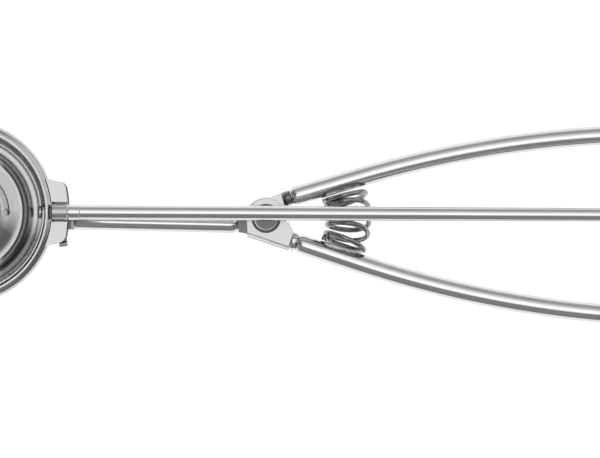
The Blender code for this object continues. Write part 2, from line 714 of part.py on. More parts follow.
def make_clevis():
    """Two eye plates and the fold between them, pinched round the lower handle's spigot."""
    block = plate(clevis_outline(), CLEVIS_BOTTOM_Z, CLEVIS_TOP_Z - CLEVIS_BOTTOM_Z)
    item = as_part(block, "clevis", 0.72, 0.1)
    block_start = CLEVIS_END - CLEVIS_BLOCK_LENGTH
    inside = CLEVIS_FOLD - SHEET
    far = 2 * CLEVIS_END
    above = [(-far, CLEVIS_FOLD), (far, CLEVIS_FOLD), (far, far), (-far, far)]
    above_points = [arm_point(-1, along, outward) for along, outward in above]
    combine(item, plate(above_points, CLEVIS_LOW_TOP_Z, CLEVIS_TOP_Z + SHEET - CLEVIS_LOW_TOP_Z))
    slot = [
        (-far, -far),
        (block_start, -far),
        (block_start, inside),
        (CLEVIS_WEB_START, inside),
        (CLEVIS_WEB_START, far),
        (-far, far),
    ]
    slot_points = [arm_point(-1, along, outward) for along, outward in slot]
    combine(item, plate(slot_points, CLEVIS_LOW_TOP_Z, CLEVIS_TOP_LOW_Z - CLEVIS_LOW_TOP_Z))
    spigot_from = arm_point(-1, block_start + SHEET, ARM_OFFSET)
    spigot_to = arm_point(-1, LOWER_ARM_START + TONGUE_LENGTH, ARM_OFFSET)
    ends = [(*spigot_from, TUBE_Z), (*spigot_to, TUBE_Z)]
    combine(item, baked(tube_along(ends, PLUG_SPIGOT_RADIUS)), "UNION")
    pivot_hole(item, RIVET_RADIUS + CLEARANCE)

    ring = ring_profile(COLLAR_RING_BORE, COLLAR_RING_RADIUS, 0, COLLAR_RING_LENGTH)
    collar = turned(ring, ROUND_STEPS, closed=True)
    start = Vector((*arm_point(-1, COLLAR_RING_START, ARM_OFFSET), TUBE_Z))
    ahead = Vector((*arm_point(-1, COLLAR_RING_START + SHEET, ARM_OFFSET), TUBE_Z)) - start
    facing = Vector((0, 0, 1)).rotation_difference(ahead.normalized()).to_matrix().to_4x4()
    collar.matrix_world = Matrix.Translation(start) @ facing
    as_part(collar, "clevis_collar", 0.6, 0.25)


def make_pivot():
    """Spacer under the centre rod, and the rivet and washer that hold the plates to it."""
    top = ROD_HEIGHT - ROD_RADIUS + CLEARANCE * 2
    edge = SPACER_RADIUS - SPACER_CHAMFER
    profile = [
        (0, top),
        (edge, top),
        (SPACER_RADIUS, top - SPACER_CHAMFER),
        (SPACER_RADIUS, SPACER_BOTTOM_Z),
        (0, SPACER_BOTTOM_Z),
    ]
    spacer = as_part(turned_at(profile, ROUND_STEPS, PIVOT), "pivot_spacer", 0.35, 0.25)
    seat = disc_profile(ROD_RADIUS + CLEARANCE, PIVOT.x - 3 * SPACER_RADIUS, PIVOT.x + 3 * SPACER_RADIUS)
    combine(spacer, turned_on_x(seat, ROUND_STEPS, centre_z=ROD_HEIGHT))
    bore_top = SPACER_BOTTOM_Z + RIVET_SOCKET_DEPTH
    bore = disc_profile(RIVET_RADIUS + CLEARANCE, SPACER_BOTTOM_Z - SHEET, bore_top)
    combine(spacer, turned_at(bore, HOLE_STEPS, PIVOT))

    head_low = RIVET_HEAD_TOP_Z - RIVET_HEAD_THICKNESS
    rivet = [
        (0, bore_top - CLEARANCE),
        (RIVET_RADIUS, bore_top - CLEARANCE),
        (RIVET_RADIUS, RIVET_HEAD_TOP_Z),
        (RIVET_HEAD_RADIUS, RIVET_HEAD_TOP_Z),
        (RIVET_HEAD_RADIUS * HEAD_TAPER, head_low),
        (0, head_low),
    ]
    as_part(turned_at(rivet, HOLE_STEPS, PIVOT), "pivot_rivet", 0.6, 0.2)
    washer_end = WASHER_TOP_Z - WASHER_THICKNESS
    washer = ring_profile(RIVET_RADIUS + CLEARANCE, WASHER_RADIUS, washer_end, WASHER_TOP_Z)
    as_part(turned_at(washer, ROUND_STEPS, PIVOT, closed=True), "pivot_washer", 0.6, 0.2)


def housing_outline():
    """Top view: a bowed outer edge with rounded corners, and slanted ends."""
    inner_x = math.sqrt(SADDLE_INNER_RADIUS ** 2 - HOUSING_HALF_WIDTH_INNER ** 2)
    back_x = inner_x - 4 * SHEET
    half_edge = HOUSING_HALF_WIDTH_OUTER - HOUSING_CORNER
    edge = []
    for index in range(7):
        y = half_edge * (index / 3 - 1)
        edge.append((HOUSING_REACH - HOUSING_EDGE_DROP * (y / half_edge) ** 2, y))
    corner_x = edge[0][0] - HOUSING_CORNER
    upper = arc((corner_x, half_edge), HOUSING_CORNER, 0, math.pi / 2, 5)[1:]
    lower = [(x, -y) for x, y in reversed(upper)]
    points = [(back_x, -HOUSING_HALF_WIDTH_INNER), (inner_x, -HOUSING_HALF_WIDTH_INNER)]
    points += lower + edge + upper
    points += [(inner_x, HOUSING_HALF_WIDTH_INNER), (back_x, HOUSING_HALF_WIDTH_INNER)]
    return points


def make_housing():
    """Folded housing: top plate, saddle wall, floor plate and the ear that carries the axle's end."""
    block = plate(housing_outline(), HOUSING_BOTTOM_Z, HOUSING_TOP_Z - HOUSING_BOTTOM_Z)
    item = as_part(block, "saddle_bracket", 0.78, 0.18)
    far = HOUSING_REACH * 1.5
    top_low = HOUSING_TOP_Z - SHEET
    shelf = -LIP_HEIGHT - CLEARANCE - SHEET
    shelf_radius = LIP_CLEAR_RADIUS + SHEET
    channel = [
        (shelf_radius, top_low),
        (far, top_low),
        (far, FLOOR_PLATE_TOP_Z),
        (SADDLE_OUTER_RADIUS, FLOOR_PLATE_TOP_Z),
        (SADDLE_OUTER_RADIUS, shelf),
        (shelf_radius, shelf),
    ]
    combine(item, turned(channel, 64, closed=True))
    combine(item, bowl_clearance())
    ear = [(-EAR_TOP_HALF_WIDTH, HOUSING_TOP_Z - SHEET / 2), (EAR_TOP_HALF_WIDTH, HOUSING_TOP_Z - SHEET / 2)]
    ear += arc((0, AXLE_Z), EAR_RADIUS, 0, -math.pi, 9)
    combine(item, plate_across(list(reversed(ear)), EAR_START_X + EAR_THICKNESS / 2, EAR_THICKNESS), "UNION")
    trough = disc_profile(SOCKET_RADIUS + CLEARANCE, 0, far)
    combine(item, turned_on_x(trough, ROUND_STEPS, centre_z=ROD_HEIGHT))
    pocket = disc_profile(PITCH_RADIUS + ADDENDUM + CLEARANCE, BUSH_FLANGE_START_X - CLEARANCE, PINION_END_X)
    combine(item, turned_on_x(pocket, ROUND_STEPS, centre_z=AXLE_Z))
    bush = disc_profile(BUSH_RADIUS + CLEARANCE, 0, BUSH_FLANGE_END_X)
    combine(item, turned_on_x(bush, HOLE_STEPS, centre_z=AXLE_Z))
    axle = disc_profile(AXLE_RADIUS + CLEARANCE, EAR_START_X - SHEET, far)
    combine(item, turned_on_x(axle, PIN_STEPS, centre_z=AXLE_Z))


def make_rod():
    """Ferrule coped over the lip, the collar next to it, and the rod with its stepped neck."""
    bore = ROD_NECK_RADIUS + CLEARANCE
    ferrule = ring_profile(bore, SOCKET_RADIUS, SOCKET_START_X, HOUSING_REACH)
    item = as_part(turned_on_x(ferrule, ROUND_STEPS, centre_z=ROD_HEIGHT, closed=True), "rod_socket", 0.5, 0.35)
    combine(item, bowl_clearance())
    start = HOUSING_REACH + CLEARANCE
    collar = ring_profile(bore, COLLAR_RADIUS, start, start + COLLAR_LENGTH)
    as_part(turned_on_x(collar, ROUND_STEPS, centre_z=ROD_HEIGHT, closed=True), "neck_collar", 0.72, 0.12)

    profile = [(0, ROD_END_X)]
    for index in range(1, 6):
        angle = math.pi / 2 * (1 - index / 5)
        profile.append((ROD_RADIUS * math.cos(angle), ROD_END_X - ROD_DOME * (1 - math.sin(angle))))
    profile += [
        (ROD_RADIUS, ROD_START_X),
        (ROD_NECK_RADIUS, ROD_START_X),
        (ROD_NECK_RADIUS, NECK_START_X),
        (0, NECK_START_X),
    ]
    as_part(turned_on_x(profile, ROUND_STEPS, centre_z=ROD_HEIGHT), "centre_rod", 0.7, 0.15)


def spring_point(turn, phase):
    """A point of the coil at an angle round the pivot and a phase round the coil."""
    radius = SPRING_DISTANCE + SPRING_MEAN_RADIUS * math.cos(phase)
    angle = ARM_MIDLINE_TILT + turn + SPRING_LEAN * math.sin(phase)
    height = TUBE_Z + SPRING_MEAN_RADIUS * math.sin(phase)
    return Vector((PIVOT.x + radius * math.cos(angle), PIVOT.y + radius * math.sin(angle), height))


def eased(start, start_way, end, end_way, count):
    """Points of a smooth curve between two places, without the places themselves."""
    made = []
    for index in range(1, count):
        t = index / count
        made.append(
            start * (2 * t ** 3 - 3 * t ** 2 + 1)
            + start_way * (t ** 3 - 2 * t ** 2 + t)
            + end * (3 * t ** 2 - 2 * t ** 3)
            + end_way * (t ** 3 - t ** 2)
        )
    return made


def spring_leg(side):
    """The straight end of the wire, square to the handle, from its tip inwards."""
    reach = SPRING_DISTANCE + SPRING_MEAN_RADIUS
    along = reach * math.cos(SPRING_LEG_TURN)
    near = ARM_OFFSET - TUBE_RADIUS - CLEARANCE
    tip = Vector((*arm_point(side, along, near), TUBE_Z))
    inner = Vector((*arm_point(side, along, near - SPRING_LEG), TUBE_Z))
    return tip, inner


def spring_path():
    count = SPRING_TURNS * SPRING_POINTS_PER_TURN
    coil = []
    for index in range(count + 1):
        share = index / count
        phase = SPRING_LEAD + (2 * math.pi * SPRING_TURNS - 2 * SPRING_LEAD) * share
        coil.append(spring_point(SPRING_HALF_ANGLE * (2 * share - 1), phase))
    low_tip, low_inner = spring_leg(-1)
    high_tip, high_inner = spring_leg(1)
    speed = SPRING_LEG * 2
    way_in = (low_inner - low_tip).normalized() * speed
    way_out = (high_tip - high_inner).normalized() * speed
    first_way = (coil[1] - coil[0]).normalized() * speed
    last_way = (coil[-1] - coil[-2]).normalized() * speed
    path = [low_tip, low_inner] + eased(low_inner, way_in, coil[0], first_way, 4)
    path += coil
    path += eased(coil[-1], last_way, high_inner, way_out, 4) + [high_inner, high_tip]
    return path


def least_gap(path):
    """Least distance between the surfaces of two turns, measured on points of the wire's axis."""
    fine = []
    for start, end in zip(path, path[1:]):
        fine += [start.lerp(end, step / 4) for step in range(4)]
    fine.append(path[-1])
    lengths = [0.0]
    for start, end in zip(fine, fine[1:]):
        lengths.append(lengths[-1] + (end - start).length)
    apart = math.pi * SPRING_MEAN_RADIUS
    least = apart
    for first, place_a in enumerate(fine):
        for second in range(first + 1, len(fine)):
            if lengths[second] - lengths[first] > apart:
                least = min(least, (fine[second] - place_a).length)
    return least - 2 * SPRING_WIRE_RADIUS


def make_spring():
    path = spring_path()
    print("return spring: least gap to itself %.2f mm" % (least_gap(path) / MM))
    wire = tube_along([tuple(point) for point in path], SPRING_WIRE_RADIUS)
    wire.data.bevel_resolution = 1
    as_part(baked(wire), "return_spring", 0.62, 0.15)


def build():
    global parts, cutters, root
    clear_scene()
    parts = bpy.data.collections.new("ice_cream_scoop")
    cutters = bpy.data.collections.new("cutters")
    bpy.context.scene.collection.children.link(parts)
    bpy.context.scene.collection.children.link(cutters)
    root = bpy.data.objects.new("scoop_root", None)
    parts.objects.link(root)

    make_bowl()
    make_scraper()
    make_bush()
    make_pinion()
    make_rack()
    make_rack_rod()
    make_lever_plate()
    make_handle(1, UPPER_ARM_START, "upper_handle")
    make_clevis()
    make_handle(-1, LOWER_ARM_START, "lower_handle")
    make_pivot()
    make_housing()
    make_rod()
    make_spring()
    root.location = (-MOUNT_X, 0, -HOUSING_BOTTOM_Z)
    bpy.context.view_layer.update()


build()
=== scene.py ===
"""Dresses the packed ice cream scoop for its photograph: fine meshes, steels, studio and camera.

Sizes are in millimetres in the scoop's own layout: the bowl's rim in the plane z = 0, its axis on Z and
the centre rod along +X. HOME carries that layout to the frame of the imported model.
"""
import math

import bmesh
import bpy
from mathutils import Matrix, Vector


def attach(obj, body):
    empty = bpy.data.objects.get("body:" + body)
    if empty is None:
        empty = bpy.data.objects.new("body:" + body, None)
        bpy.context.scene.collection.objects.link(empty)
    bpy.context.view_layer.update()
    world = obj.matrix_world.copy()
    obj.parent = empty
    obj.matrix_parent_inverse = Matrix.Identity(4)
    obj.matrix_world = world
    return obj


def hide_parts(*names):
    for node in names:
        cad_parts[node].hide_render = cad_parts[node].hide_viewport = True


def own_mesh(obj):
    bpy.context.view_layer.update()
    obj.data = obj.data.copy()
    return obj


MM = 0.001
DEGREE = math.radians(1)
HOME = Vector((-28.95, 0.0, 12.9))

# Fits, broken edges and steps of round pieces
GAP = 0.3
EDGE_BREAK = 0.12
PLATE_BREAK = 0.15
BOWL_STEPS = 192
ROD_STEPS = 96
SEAT_STEPS = 64
TUBE_STEPS = 56
RING_STEPS = 48
PIN_STEPS = 40

# Bowl
BOWL_INNER = 25.0
BOWL_OUTER = 25.9
LIP_CREST = 25.2
LIP_RADIUS = 2.5
LIP_HEIGHT = 2.9
LIP_FILLET = 0.15

# Scraper and what carries it
AXLE_Z = -6.6
BLADE_OUTER = 24.6
BLADE_INNER = 23.8
BLADE_HALF = 2.2
BLADE_CORNER = 0.3
AXLE_RADIUS = 1.2
AXLE_HEAD = 1.9
AXLE_HEAD_THICK = 0.7
AXLE_ROUNDING = 0.2
POLE_HEAD_THICK = 0.8
POLE_WASHER_THICK = 0.8
POLE_WASHER_RADIUS = 2.8
BUSH_RADIUS = 2.1
BUSH_FLANGE = 2.3
BUSH_FLANGE_THICK = 0.6
PINION_START = 28.25
PINION_END = 30.45
PINION_TIP = 3.48

# Housing
SHEET = 1.0
HOUSING_TOP = -0.3
HOUSING_BOTTOM = -12.9
HOUSING_REACH = 31.7
HOUSING_HALF_INNER = 10.4
HOUSING_HALF_OUTER = 9.3
HOUSING_CORNER = 2.5
HOUSING_DROP = 0.6
HOUSING_TUCK = 4.0
HOUSING_PAST = 50.0
SADDLE_INNER = 26.2
SADDLE_OUTER = 27.2
EAR_START = 30.75
EAR_END = 31.55
EAR_TOP_HALF = 3.6
EAR_RADIUS = 2.2

# Centre rod with its ferrule and collar
ROD_RADIUS = 2.175
ROD_Z = 1.0
ROD_END = 222.0
ROD_DOME = 0.8
ROD_BREAK = 0.05
NECK_RADIUS = 1.5
NECK_START = 28.3
SOCKET_RADIUS = 2.475
SOCKET_START = 27.24
SOCKET_BREAK = 0.15
FERRULE_SLOT_LOW = -2.9
FERRULE_SLOT_HIGH = 3.1
FERRULE_SLOT_START = 26.0
FERRULE_SLOT_END = 40.0
FERRULE_SLOT_PAST = 0.2
COLLAR_RADIUS = 2.25
COLLAR_START = 32.0
COLLAR_LENGTH = 3.4
COLLAR_BREAK = 0.08

# Pivot
PIVOT = Vector((91.26, -1.55))
SPACER_RADIUS = 3.6
BOSS_CHAMFER = 0.4
# The boss's foot is a flange whose dark steel stands for painted shade round the boss's base
BOSS_FOOT = 4.4
BOSS_FOOT_HIGH = 0.5
RIVET_RADIUS = 1.6
RIVET_INTO_BOSS = 2.2
RIVET_HEAD = 3.0
RIVET_HEAD_THICK = 1.0
RIVET_ROUNDING = 0.25
WASHER_THICK = 0.6
LEVER_HIGH = -8.2
LEVER_LOW = -9.4
CLEVIS_TOP = -6.9
CLEVIS_TOP_UNDER = -7.9
CLEVIS_LOW_TOP = -9.7
CLEVIS_BOTTOM = -10.7

# Handles: GRIP is their radius where the photo shows them, TUBE the one at their ends
TUBE = 2.697
GRIP = 2.94
GRIP_NARROWS = 34.0
GRIP_NARROWED = 10.0
BORE = 1.9
TUBE_Z = -8.8
NOSE = 2.3
NOSE_MOUTH = 1.7
NOSE_POINTS = 10
ARM_ANGLE = math.radians(17.35)
MIDLINE = math.radians(-0.73)
ARM_OFFSET = 4.04
ARM_STRAIGHT = 30.2
BOW_RADIUS = 327.0
TIP_RADIUS = 40.0
TIP_TURN = math.radians(14)
UPPER_START = 8.9
LOWER_START = 11.0
PLUG_DOME = 1.88
PLUG_STEM = 1.6
PLUG_LENGTH = 5.0

# Rack rod
RACK_ROD_START = 33.5
RACK_ROD_END = 82.6
RACK_ROD_ANGLE = math.radians(0.99)
RACK_ROD_OFFSET = 2.03

# Lever plate: its edges are arcs round the pivot, by radius and degrees
LEVER_UPPER_EDGE = (6.4, 82, 150)
LEVER_TAIL_EDGE = (7.0, 224, 257)
LEVER_LOWER_EDGE = (4.6, -80, -5)
SHOULDER_HALF = 2.2
TAIL_HALF = 2.3
TONGUE = 6.0
TONGUE_HALF = 1.4
STRIPES = 1.5
STRIPE_COUNT = 3
STRIPE_RADIUS = 2.3
STRIPE_DEPTH = 0.35
STRIPE_STEM = 1.45
# SHADE_END: along X, where the painted shade of the rod on the lever's tail ends
SHADE_END = 86.3

# Clevis and its ring
CLEVIS_EYE = 6.0
CLEVIS_FOLD = 6.14
CLEVIS_LEDGE = 7.14
CLEVIS_FOLD_START = -3.6
CLEVIS_WEB_START = 3.0
CLEVIS_END = 9.2
CLEVIS_NECK = 1.5
CLEVIS_BLOCK = 1.8
FOLD_BEND = 0.35
SPIGOT_RADIUS = 1.6
SPIGOT_LENGTH = 7.0
RING_BORE = 1.7
RING_LENGTH = 1.72
RING_RADIUS = 2.86
RING_CORNER = ((2.7, 0.0), (2.79, 0.04), (2.83, 0.12))

# Spring: SPRING_TURNS are the coil's angles in degrees at SPRING_PHASES, in half-turns of its wire
SPRING_DISTANCE = 24.8
SPRING_MEAN = 6.25
SPRING_WIRE = 0.8
SPRING_TURNS = (-17.9, -17.0, -7.9, -1.3, 7.6, 15.5, 17.6)
SPRING_PHASES = (-1, 0, 2, 4, 6, 8, 9)
SPRING_LEAN = 4.0
SPRING_LEAN_LEAST = 0.2
SPRING_LEAD = 0.16
SPRING_LEG = 1.0
SPRING_POINTS = 220
SPRING_BENDS = 12

# Painted reflection rings in the bowl's inside: (radius from its axis, factor on the steel's grey)
BOWL_PAINTED_REFLECTION_BANDS = ((0.0, 0.95), (16.8, 0.95), (17.4, 1.0), (19.8, 1.0), (20.4, 1.1), (21.8, 1.2), (22.4, 1.38),
              (26.0, 1.38))
BOWL_PAINTED_DARK_RINGS = ((0.0, 1.0), (18.15, 1.0), (18.4, 0.07), (18.9, 0.07), (19.2, 0.3), (20.1, 0.28), (20.9, 0.8),
              (22.1, 1.0), (28.0, 1.0))
# Painted dark rings: how far their centre lies aside from the axis, and the X over which they fade in on the
# rod's side
DARK_RINGS_ASIDE = 1.8
DARK_RINGS_FROM = (7.0, 11.0)
# Painted dark reflection on the lower outer part of the bowl's inside, on the rod's side: by Y, by radius,
# and how dark
PAINTED_DARK_SIDE = (-8.0, -2.0)
PAINTED_DARK_RING = (18.2, 19.4)
PAINTED_DARK_FACTOR = 0.32

# Sky: (degrees, grey), about X from straight up for the sides, and down from straight up for both ends
SIDE_SKY = ((-180, 0.30), (-95, 0.30), (-70, 0.30), (-26, 0.33), (-18, 0.6), (-12, 1.7), (11, 1.7),
            (24, 1.15), (40, 0.76), (58, 0.42), (74, 0.55), (95, 0.8), (180, 0.9))
FAR_SKY = ((0, 1.7), (11, 1.6), (16, 0.5), (20, 0.42), (24, 0.25), (40, 0.3), (60, 0.45), (90, 0.6),
           (180, 0.6))
NEAR_SKY = ((0, 1.7), (8, 1.5), (20, 1.0), (45, 0.9), (60, 1.2), (76, 1.2), (84, 0.3), (90, 0.15),
            (100, 0.15), (180, 0.5))

# How an end of the sky begins and is full by its share of X, and gets dim by its share of Y, by how much
FAR_END = (FAR_SKY, (-0.4, -0.75), (0.4, 0.0), 0.5)
NEAR_END = (NEAR_SKY, (0.4, 0.75), (-0.4, 0.05), 0.8)
DIM_TILT = (12, 25)

# Floor, light and camera
FLOOR_HALF = 3000.0
FLOOR_GAP = 0.05
FLOOR_GREY = 0.9
LIGHT_PLACE = (0.07, 0.0, 2.0)
LIGHT_SIDE = 2.4
LIGHT_WATTS = 48.0
CAMERA_DISTANCE = 1300.0
CAMERA_WIDTH = 180.0
CAMERA_AIM = (101.5, -4.7)
CAMERA_TURN = math.radians(0.28)

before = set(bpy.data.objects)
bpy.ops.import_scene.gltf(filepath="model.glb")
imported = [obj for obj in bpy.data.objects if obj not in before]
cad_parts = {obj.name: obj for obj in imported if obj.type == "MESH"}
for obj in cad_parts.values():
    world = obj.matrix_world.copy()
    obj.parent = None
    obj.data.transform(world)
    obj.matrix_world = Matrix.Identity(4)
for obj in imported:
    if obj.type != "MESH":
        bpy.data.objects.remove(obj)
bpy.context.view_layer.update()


# Steels

def link(tree, source, target):
    tree.links.new(source, target)


def node(tree, kind, inputs, **settings):
    """The outputs of a new node. Its inputs are sockets to link or plain values to set."""
    made = tree.nodes.new(kind)
    for name, value in settings.items():
        setattr(made, name, value)
    for name, value in inputs.items():
        if isinstance(value, bpy.types.NodeSocket):
            link(tree, value, made.inputs[name])
        else:
            made.inputs[name].default_value = value
    return made.outputs


def noise(tree, vector, scale, detail, stretch):
    """Noise over a vector that is first scaled by a stretch on each axis."""
    place = node(tree, "ShaderNodeMapping", {"Vector": vector, "Scale": stretch})["Vector"]
    inputs = {"Vector": place, "Scale": scale, "Detail": detail, "Roughness": 0.6}
    return node(tree, "ShaderNodeTexNoise", inputs)["Fac"]


def ranged(tree, value, low_in, high_in, low_out, high_out):
    """The value carried from one range to another and held within it."""
    inputs = {"Value": value, "From Min": low_in, "From Max": high_in, "To Min": low_out, "To Max": high_out}
    return node(tree, "ShaderNodeMapRange", inputs)["Result"]


def calculated(tree, operation, *values):
    return node(tree, "ShaderNodeMath", dict(enumerate(values)), operation=operation)["Value"]


def distance(tree, vector):
    return node(tree, "ShaderNodeVectorMath", {0: vector}, operation="LENGTH")["Value"]


def steel(name, grey, rough, lines, line_depth, wear, coords="grain"):
    """Metal with drawn or turned lines, hairline scratches and handling haze.

    lines is the stretch of the line pattern on the three grain axes, in lines a metre.
    """
    made = bpy.data.materials.new(name)
    made.use_nodes = True
    tree = made.node_tree
    shader = tree.nodes["Principled BSDF"]
    shader.inputs["Metallic"].default_value = 1.0
    shader.inputs["IOR"].default_value = 2.5
    place = tree.nodes.new("ShaderNodeTexCoord").outputs["Object"]
    grain = place
    if coords == "grain":
        grain = node(tree, "ShaderNodeAttribute", {}, attribute_name="grain")["Vector"]
    drawn = noise(tree, grain, 1.0, 3.0, lines)
    haze = noise(tree, place, 90.0, 3.0, (1, 1, 1))
    scuff = noise(tree, place, 1.0, 2.0, (900, 5200, 2600))
    scratch = ranged(tree, scuff, 0.66, 0.74, 0.0, wear)
    base = ranged(tree, drawn, 0.3, 0.7, rough * 0.7, rough * 1.3)
    film = ranged(tree, haze, 0.35, 0.75, 0.0, wear * 0.6)
    smooth_part = calculated(tree, "ADD", base, film)
    link(tree, calculated(tree, "ADD", smooth_part, scratch), shader.inputs["Roughness"])
    hazy = ranged(tree, haze, 0.3, 0.7, 0, 0.6)
    lined = ranged(tree, drawn, 0.3, 0.7, 0, 0.4)
    tones = {
        "Factor": calculated(tree, "ADD", hazy, lined),
        "A": (grey * 0.94, grey * 0.945, grey * 0.95, 1),
        "B": (grey * 1.04, grey * 1.04, grey * 1.045, 1),
    }
    tone = node(tree, "ShaderNodeMix", tones, data_type="RGBA")
    link(tree, tone["Result"], shader.inputs["Base Color"])
    bump = node(tree, "ShaderNodeBump", {"Strength": line_depth, "Distance": 0.02 * MM, "Height": drawn})
    link(tree, bump["Normal"], shader.inputs["Normal"])
    return made


def ramp(tree, value, stops, unit):
    """Grey levels over a value: stops are (value in the unit, grey), the outer two at its limits."""
    low, high = stops[0][0], stops[-1][0]
    made = tree.nodes.new("ShaderNodeValToRGB")
    elements = made.color_ramp.elements
    while len(elements) < len(stops):
        elements.new(0.5)
    for element, (place, grey) in zip(elements, stops):
        element.position = (place - low) / (high - low)
        element.color = (grey, grey, grey, 1)
    link(tree, ranged(tree, value, low * unit, high * unit, 0.0, 1.0), made.inputs["Fac"])
    return made.outputs["Color"]


def blended(tree, colour, other, share):
    """The first colour, turned to the other where the share is one."""
    inputs = {"A": colour, "B": other, "Factor": share}
    return node(tree, "ShaderNodeMix", inputs, data_type="RGBA")["Result"]


def darken(tree, colour, factor):
    """The colour times a factor."""
    inputs = {"A": colour, "B": factor, "Factor": 1.0}
    return node(tree, "ShaderNodeMix", inputs, data_type="RGBA", blend_type="MULTIPLY")["Result"]


def painted_reflection_rings(made):
    """Painted reflection in the bowl's inside: brighter and darker bands round its axis that stand for the
    rings it reflects.

    The painted dark rings and the painted darker lower outer part lie on the rod's side of the bowl only.
    """
    tree = made.node_tree
    shader = tree.nodes["Principled BSDF"]
    colour = shader.inputs["Base Color"].links[0].from_socket
    place = tree.nodes.new("ShaderNodeTexCoord").outputs["Object"]
    shift = {"Vector": place, "Location": (-HOME.x * MM, 0, 0), "Scale": (1, 1, 0)}
    around = node(tree, "ShaderNodeMapping", shift)["Vector"]
    radius = distance(tree, around)
    # Painted reflection bands: the steel's grey changes with the radius
    colour = darken(tree, colour, ramp(tree, radius, BOWL_PAINTED_REFLECTION_BANDS, MM))
    # Painted dark rings, centred a little aside from the axis, on the rod's side only
    aside = node(tree, "ShaderNodeVectorMath", {0: around, 1: (DARK_RINGS_ASIDE * MM, 0, 0)})["Vector"]
    dark_ring = ramp(tree, distance(tree, aside), BOWL_PAINTED_DARK_RINGS, MM)
    parts = node(tree, "ShaderNodeSeparateXYZ", {"Vector": around})
    far_side = ranged(tree, parts["X"], DARK_RINGS_FROM[0] * MM, DARK_RINGS_FROM[1] * MM, 1.0, 0.0)
    white = tree.nodes.new("ShaderNodeRGB").outputs["Color"]
    white.default_value = (1, 1, 1, 1)
    colour = darken(tree, colour, blended(tree, dark_ring, white, far_side))
    # Painted dark reflection: darker towards -Y at the outer radius, on the rod's side only
    painted_dark = ranged(tree, parts["Y"], PAINTED_DARK_SIDE[0] * MM, PAINTED_DARK_SIDE[1] * MM, PAINTED_DARK_FACTOR, 1.0)
    middle = ranged(tree, radius, PAINTED_DARK_RING[0] * MM, PAINTED_DARK_RING[1] * MM, 1.0, 0.0)
    colour = darken(tree, colour, blended(tree, blended(tree, painted_dark, white, middle), white, far_side))
    link(tree, colour, shader.inputs["Base Color"])
    return made


ALONG = (3800, 3800, 25)
AROUND = (30, 30, 5200)
FLAT = (260, 4200, 4200)
BOWL_STEEL = steel("bowl_polish", 0.47, 0.035, AROUND, 0.05, 0.05)
# A lighter copy of the bowl's steel for its inside, with painted reflection rings
BOWL_INSIDE_PAINTED = painted_reflection_rings(steel("bowl_inside_painted_reflection", 0.66, 0.04, AROUND, 0.05, 0.05))
HANDLE_STEEL = steel("handle_polish", 0.62, 0.085, ALONG, 0.08, 0.05)
ROD_STEEL = steel("rod_drawn", 0.60, 0.11, ALONG, 0.25, 0.06)
SATIN_STEEL = steel("socket_satin", 0.52, 0.30, AROUND, 0.6, 0.06)
PLATE_STEEL = steel("plate_rolled", 0.44, 0.16, FLAT, 0.25, 0.08, "object")
GEAR_STEEL = steel("gear_cut", 0.26, 0.24, FLAT, 0.4, 0.10, "object")
# Dark steel of the pivot boss: painted shade of the rod over it
BOSS_PAINTED_SHADE = steel("boss_painted_shade", 0.13, 0.28, AROUND, 0.4, 0.10)
# Darker steel for the lever's swage: painted shade in its grooves
SWAGE_PAINTED_SHADE = steel("swage_painted_shade", 0.24, 0.2, AROUND, 0.4, 0.08)
# Dark plate steel: painted shade on the lever's tail under the rod and under the slot beside the ferrule
PAINTED_SHADE_STEEL = steel("plate_painted_shade", 0.17, 0.3, FLAT, 0.4, 0.1, "object")
TURNED_STEEL = steel("turned_bright", 0.60, 0.12, AROUND, 0.3, 0.06)
WIRE_STEEL = steel("spring_wire", 0.26, 0.16, ALONG, 0.2, 0.06)
FLAT_STEELS = (PLATE_STEEL, GEAR_STEEL)


# Mesh building

def rework(mesh, change):
    """Put a mesh through a function that changes its editable copy."""
    work = bmesh.new()
    work.from_mesh(mesh)
    change(work)
    work.to_mesh(mesh)
    work.free()


def mesh_object(name, verts, faces, grain=None):
    """An object from points in millimetres of the scoop's layout."""
    mesh = bpy.data.meshes.new(name)
    mesh.from_pydata([(Vector(point) + HOME) * MM for point in verts], [], faces)
    if grain:
        layer = mesh.attributes.new("grain", "FLOAT_VECTOR", "POINT")
        flat = [value * MM for place in grain for value in place]
        layer.data.foreach_set("vector", flat)
    rework(mesh, lambda work: bmesh.ops.recalc_face_normals(work, faces=work.faces))
    made = bpy.data.objects.new(name, mesh)
    bpy.context.scene.collection.objects.link(made)
    return made


def bake(item):
    """Swap the object's mesh for its evaluated shape."""
    bpy.context.view_layer.update()
    graph = bpy.context.evaluated_depsgraph_get()
    mesh = bpy.data.meshes.new_from_object(item.evaluated_get(graph))
    item.modifiers.clear()
    item.data = mesh


def boolean(item, tool, operation="DIFFERENCE"):
    """Cut the tool away from the item, or join it, and remove the tool."""
    step = item.modifiers.new("Boolean", "BOOLEAN")
    step.operation = operation
    step.solver = "EXACT"
    step.object = tool
    bake(item)
    bpy.data.objects.remove(tool, do_unlink=True)


def soften(item, width, segments=3, angle=30):
    """Round every edge sharper than the angle."""
    step = item.modifiers.new("Bevel", "BEVEL")
    step.width = width * MM
    step.segments = segments
    step.limit_method = "ANGLE"
    step.angle_limit = math.radians(angle)
    step.use_clamp_overlap = True
    bake(item)


def finish(item, body, material, nodes, sharp=32):
    """Give the piece its steel, hang it on its body and put it in the place of its nodes.

    Pieces of flat sheet and the gears get weighted normals, so that their flats shade as flats.
    """
    item.data.shade_smooth()
    item.data.set_sharp_from_angle(angle=math.radians(sharp))
    if material in FLAT_STEELS:
        step = item.modifiers.new("Flat", "WEIGHTED_NORMAL")
        step.keep_sharp = True
        step.weight = 100
        bake(item)
    item.data.materials.clear()
    item.data.materials.append(material)
    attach(item, body)
    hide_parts(*nodes)


